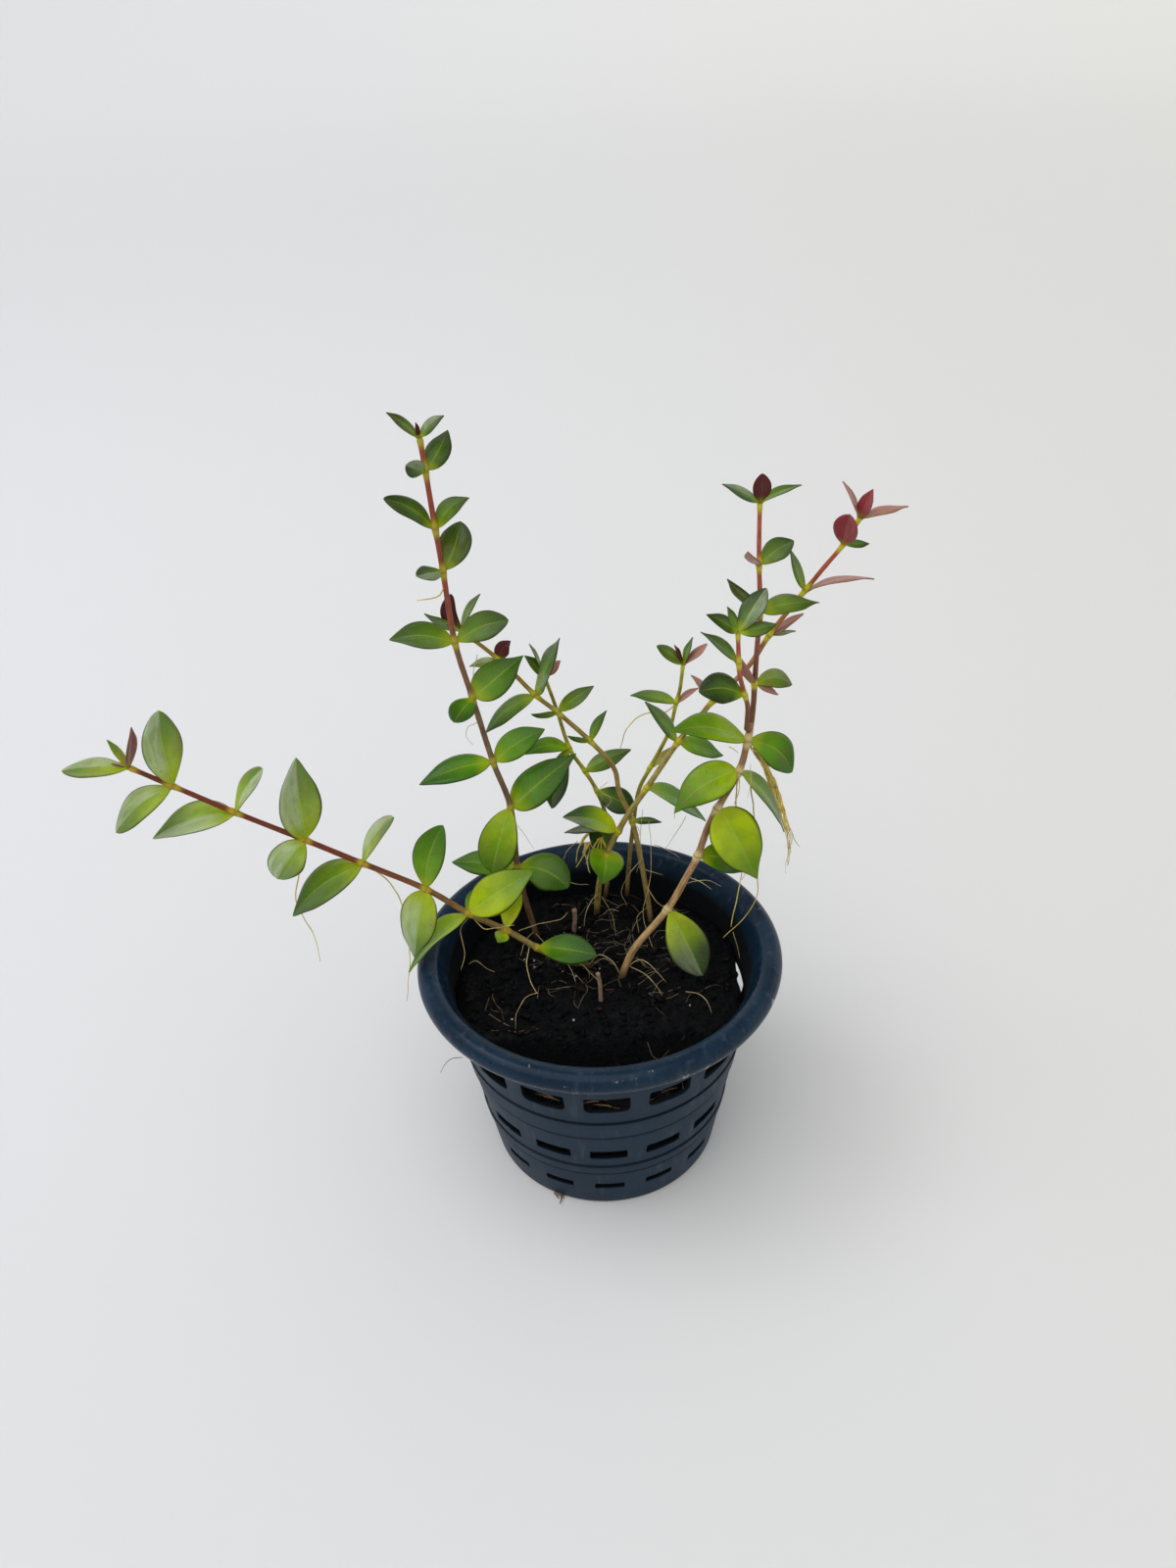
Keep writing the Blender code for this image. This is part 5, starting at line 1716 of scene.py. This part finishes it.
# %% Pot material
# dried marks on the rim, white and yellow: place across, height, reach and strength of each
CRUSTS = ((-33.0, 62.4, 1.5, 0.5), (-7.4, 61.7, 1.3, 0.4), (-2.6, 61.5, 1.3, 0.4), (7.4, 62.2, 1.0, 0.3),
          (4.2, 67.0, 0.7, 0.2), (19.5, 63.0, 1.3, 0.6), (44.0, 64.0, 1.8, 0.5), (40.0, 63.0, 1.5, 0.5))
SMEARS = ((17.5, 61.9, 1.3, 0.5), (21.5, 62.0, 1.8, 0.6), (25.0, 62.2, 2.0, 0.8), (28.0, 62.4, 1.5, 0.5))
MARKS = ((CRUSTS, 0.85, (196, 202, 202)), (SMEARS, 0.7, (150, 156, 96)))
# on each edge of a band: from, to, blur, strength and colour of the painted shade in the groove and of the
# softer painted shade round it
BAND_LINES = ((-0.5, 0.5, 0.5, 0.85, (3, 14, 26)), (-1.0, 0.6, 0.9, 0.4, (6, 24, 40)))
RUN_STRETCH = (1.0, 1.0, 0.14)
# from nothing to full, in millimetres: the inner face below the rim and behind the wall's line, which is
# painted near black as painted shade, the outer part of the rim, and the wall below the rim, which is painted
# a little lighter as a painted reflection of the floor
INSIDE_BELOW = (64.5, 60.5)
INSIDE_BEHIND = (0.2, 0.5)
OUTER_RIM = (45.5, 47.0)
WALL_BELOW = (61.8, 60.6)


def fade(tree, value, limits):
    return smooth_step(tree, value, limits[0] * MM, limits[1] * MM)


def ragged(tree, x, z, reach):
    """A ragged patch on the near side of the rim, at a place across and a height in millimetres."""
    radius = RIM_RADIUS - 0.5
    centre = (x * MM, -math.sqrt(radius * radius - x * x) * MM, z * MM)
    return effect(tree, RAGGED, {"Centre": centre, "Reach": reach * MM})["Mask"]


def pot_zones(tree, spot):
    """Height on the pot, and masks of its inner face (painted shade), its outer rim and its wall (painted
    reflection).
    """
    x, y, height = axes_of(tree, spot)
    flat = place(tree, "ShaderNodeCombineXYZ", {"X": x, "Y": y}).outputs[0]
    radius = place(tree, "ShaderNodeVectorMath", {0: flat}, operation="LENGTH").outputs["Value"]
    slope = (WALL_TOP_RADIUS - BASE_RADIUS) / (POT_HEIGHT - BEAD_HEIGHT)
    depth = sum_of(tree, "SUBTRACT", times_plus(tree, height, slope, BASE_RADIUS * MM), radius)
    inside = times(tree, fade(tree, depth, INSIDE_BEHIND), fade(tree, height, INSIDE_BELOW))
    return height, inside, fade(tree, radius, OUTER_RIM), fade(tree, height, WALL_BELOW)


def pot_material():
    material, tree, shader = new_material("slate plastic", Specular_IOR_Level=0.16)
    spot = object_spot(tree)
    height, inside, outer, wall = pot_zones(tree, spot)
    colour = layer(tree, paint(8, 30, 48), (15, 38, 58), mottle(tree, 45.0, 0.3, 0.7))
    # painted reflection: the wall below the rim is painted lighter than the rim, for the pale floor that it
    # mirrors
    colour = layer(tree, colour, (28, 46, 62), wall, 0.45)
    dust = times(tree, mottle(tree, 90.0, 0.42, 0.75), mottle(tree, 900.0, 0.2, 0.8))
    colour = layer(tree, colour, (56, 76, 92), dust, 0.3)
    stretched = place(tree, "ShaderNodeMapping", {"Vector": spot, "Scale": RUN_STRETCH})
    runs = smooth_step(tree, noise_cloud(tree, stretched.outputs[0], 420.0, 3.0), 0.56, 0.74)
    colour = layer(tree, colour, (88, 98, 104), runs, 0.2)
    # painted shade: dark lines in the grooves of the bands, with softer shade round them
    for line in (edge for band in BANDS for edge in band):
        for start, end, blur, strength, shade in BAND_LINES:
            mask = height_band(tree, height, line + start, line + end, blur)
            colour = layer(tree, colour, shade, mask, strength)
    lip_foot = POT_HEIGHT - BEAD_HEIGHT
    lip = height_band(tree, height, lip_foot + 0.1, lip_foot + 0.7, 0.35)
    scuffs = times(tree, times(tree, lip, outer), mottle(tree, 240.0, 0.5, 0.62))
    colour = layer(tree, colour, (150, 160, 164), scuffs, 0.6)
    nicks = times(tree, mottle(tree, 620.0, 0.68, 0.74), outer)
    colour = layer(tree, colour, (140, 146, 148), nicks, 0.5)
    for marks, cover, shade in MARKS:
        for x, z, reach, strength in marks:
            colour = layer(tree, colour, shade, ragged(tree, x, z, reach), strength * cover)
    dirt = times(tree, height_band(tree, height, -1.0, 2.0, 1.5), mottle(tree, 300.0, 0.5, 0.62))
    colour = layer(tree, colour, (62, 46, 34), dirt, 0.35)
    # painted shade: the inside of the pot is painted near black
    colour = layer(tree, colour, (2, 5, 8), inside, 0.96)
    dull = times_plus(tree, dust, 0.25, 0.27)
    for mask, change in ((wall, 0.2), (scuffs, 0.3)):
        dull = times_plus(tree, mask, change, dull)
    connect(tree, shader, Base_Color=colour, Roughness=times_plus(tree, inside, 0.5, dull, clamp=True),
            Normal=relief(tree, 700.0, 0.12, 0.0002))
    return material


pot.data.materials.clear()
finish_pieces(pot_material(), pot)
print("pot finish on", len(pot.data.polygons), "faces")

# %% [markdown]
# The stage is a wide pale floor that curves up all round, so that no line shows behind the plant from any
# side. The paper carries painted light: it is a little cooler and lighter on the left and warmer and darker
# on the right, as in the picture, and painted lighter where it rises.

# %% Stage
SWEEP_BACK = 5.0
SWEEP_CURVE = 6.5
SWEEP_TOP = 6.6
SWEEP_STEPS = 96
CURVE_STEPS = 24


def paper_material():
    """Painted light: cool and lighter on the left, warm and darker on the right, lighter where the paper
    rises; the divisor keeps the change soft far away.
    """
    material, tree, shader = new_material("pale paper", 0.9)
    x, y, z = axes_of(tree, object_spot(tree))
    # painted light: the floor is cooler and lighter on the left, warmer and darker on the right
    away = sum_of(tree, "ADD", sum_of(tree, "ABSOLUTE", y), 0.6)
    across = smooth_step(tree, sum_of(tree, "DIVIDE", x, away), -0.9, 0.9)
    floor = layer(tree, paint(221, 221, 226), (213, 213, 208), across)
    # painted light: the paper is painted lighter where it rises, making up for the light that falls less on
    # it
    connect(tree, shader, Base_Color=layer(tree, floor, (253, 253, 253), smooth_step(tree, z, 0.5, 3.0)))
    return material


def make_sweep():
    outline = []
    for step in range(CURVE_STEPS + 1):
        angle = math.radians(90 * step / CURVE_STEPS)
        outline.append((SWEEP_BACK + SWEEP_CURVE * math.sin(angle), SWEEP_CURVE * (1 - math.cos(angle))))
    outline.append((SWEEP_BACK + SWEEP_CURVE, SWEEP_TOP))
    angles = [2 * math.pi * k / SWEEP_STEPS for k in range(SWEEP_STEPS)]
    points = [(radius * math.cos(angle), radius * math.sin(angle), z)
              for radius, z in outline for angle in angles]
    mesh = bpy.data.meshes.new("pale_sweep")
    mesh.from_pydata(points, [], [tuple(range(SWEEP_STEPS))]
                     + wall_faces(rings_of(0, len(outline), SWEEP_STEPS)))
    mesh.shade_smooth()
    sweep = new_object("pale_sweep", mesh)
    finish_pieces(paper_material(), sweep)
    return sweep


sweep = make_sweep()
print("sweep reaches back", SWEEP_BACK + SWEEP_CURVE, "m")

# %% [markdown]
# The light is that of a bright room. A sun with a very wide angle stands for a broad soft window
# from the front and upper left: it gives the faint shadow on the right, without a hard edge. One
# large lamp on the left puts the gloss on the leaves, and a pale world fills the rest.

# %% Light
TARGET = Vector((0.0, 0.0, 0.07))
WINDOW_PLACE = Vector((-0.8, 0.1, 1.25))
WINDOW_SIZE = (0.7, 0.5)
WINDOW_POWER = 2.6
SKY_WAY = Vector((0.34, 0.42, -0.84))
SKY_POWER = 1.8
SKY_ANGLE = 80
ROOM_POWER = 0.5


def new_light(name, kind, energy, colour, way):
    """A light that shines along a direction."""
    light = bpy.data.lights.new(name, kind)
    light.energy, light.color = energy, colour
    holder = new_object(name, light)
    holder.rotation_euler = way.to_track_quat("-Z", "Y").to_euler()
    return light, holder


window, window_holder = new_light("window_light", "AREA", WINDOW_POWER, (0.9, 0.95, 1.0),
                                  TARGET - WINDOW_PLACE)
window_holder.location = WINDOW_PLACE
window.shape = "RECTANGLE"
window.size, window.size_y = WINDOW_SIZE
sky, _ = new_light("sky_light", "SUN", SKY_POWER, (1.0, 0.995, 0.98), SKY_WAY)
sky.angle = math.radians(SKY_ANGLE)

world = bpy.data.worlds.new("pale_room")
world.use_nodes = True
bpy.context.scene.world = world
backing = world.node_tree.nodes["Background"]
backing.inputs["Color"].default_value = (0.97, 0.985, 1.0, 1.0)
backing.inputs["Strength"].default_value = ROOM_POWER
bpy.context.scene.view_settings.view_transform = "Standard"

# %% [markdown]
# The camera takes the eye, the look down and the roll from the first cells, so the view shows every
# leaf at the pixel that it was read from. The lens follows from the focal length in pixels.

# %% Camera
SENSOR = 36.0
PICTURE_HEIGHT = 1600.0

camera_data = bpy.data.cameras.new("picture_camera")
camera_data.sensor_width = SENSOR
camera_data.lens = SENSOR * FOCAL / PICTURE_HEIGHT
camera_data.clip_start = 0.01
camera = new_object("picture_camera", camera_data)
camera.matrix_world = (Matrix.Translation(EYE * MM)
                       @ Matrix((RIGHT, UP, -FORWARD)).transposed().to_4x4())
bpy.context.scene.camera = camera
print("lens:", camera_data.lens, "mm, camera at", tuple(round(v, 3) for v in camera.location))

# %% [markdown]
# Last, the view layer is brought up to date.

# %% Finish
bpy.context.view_layer.update()
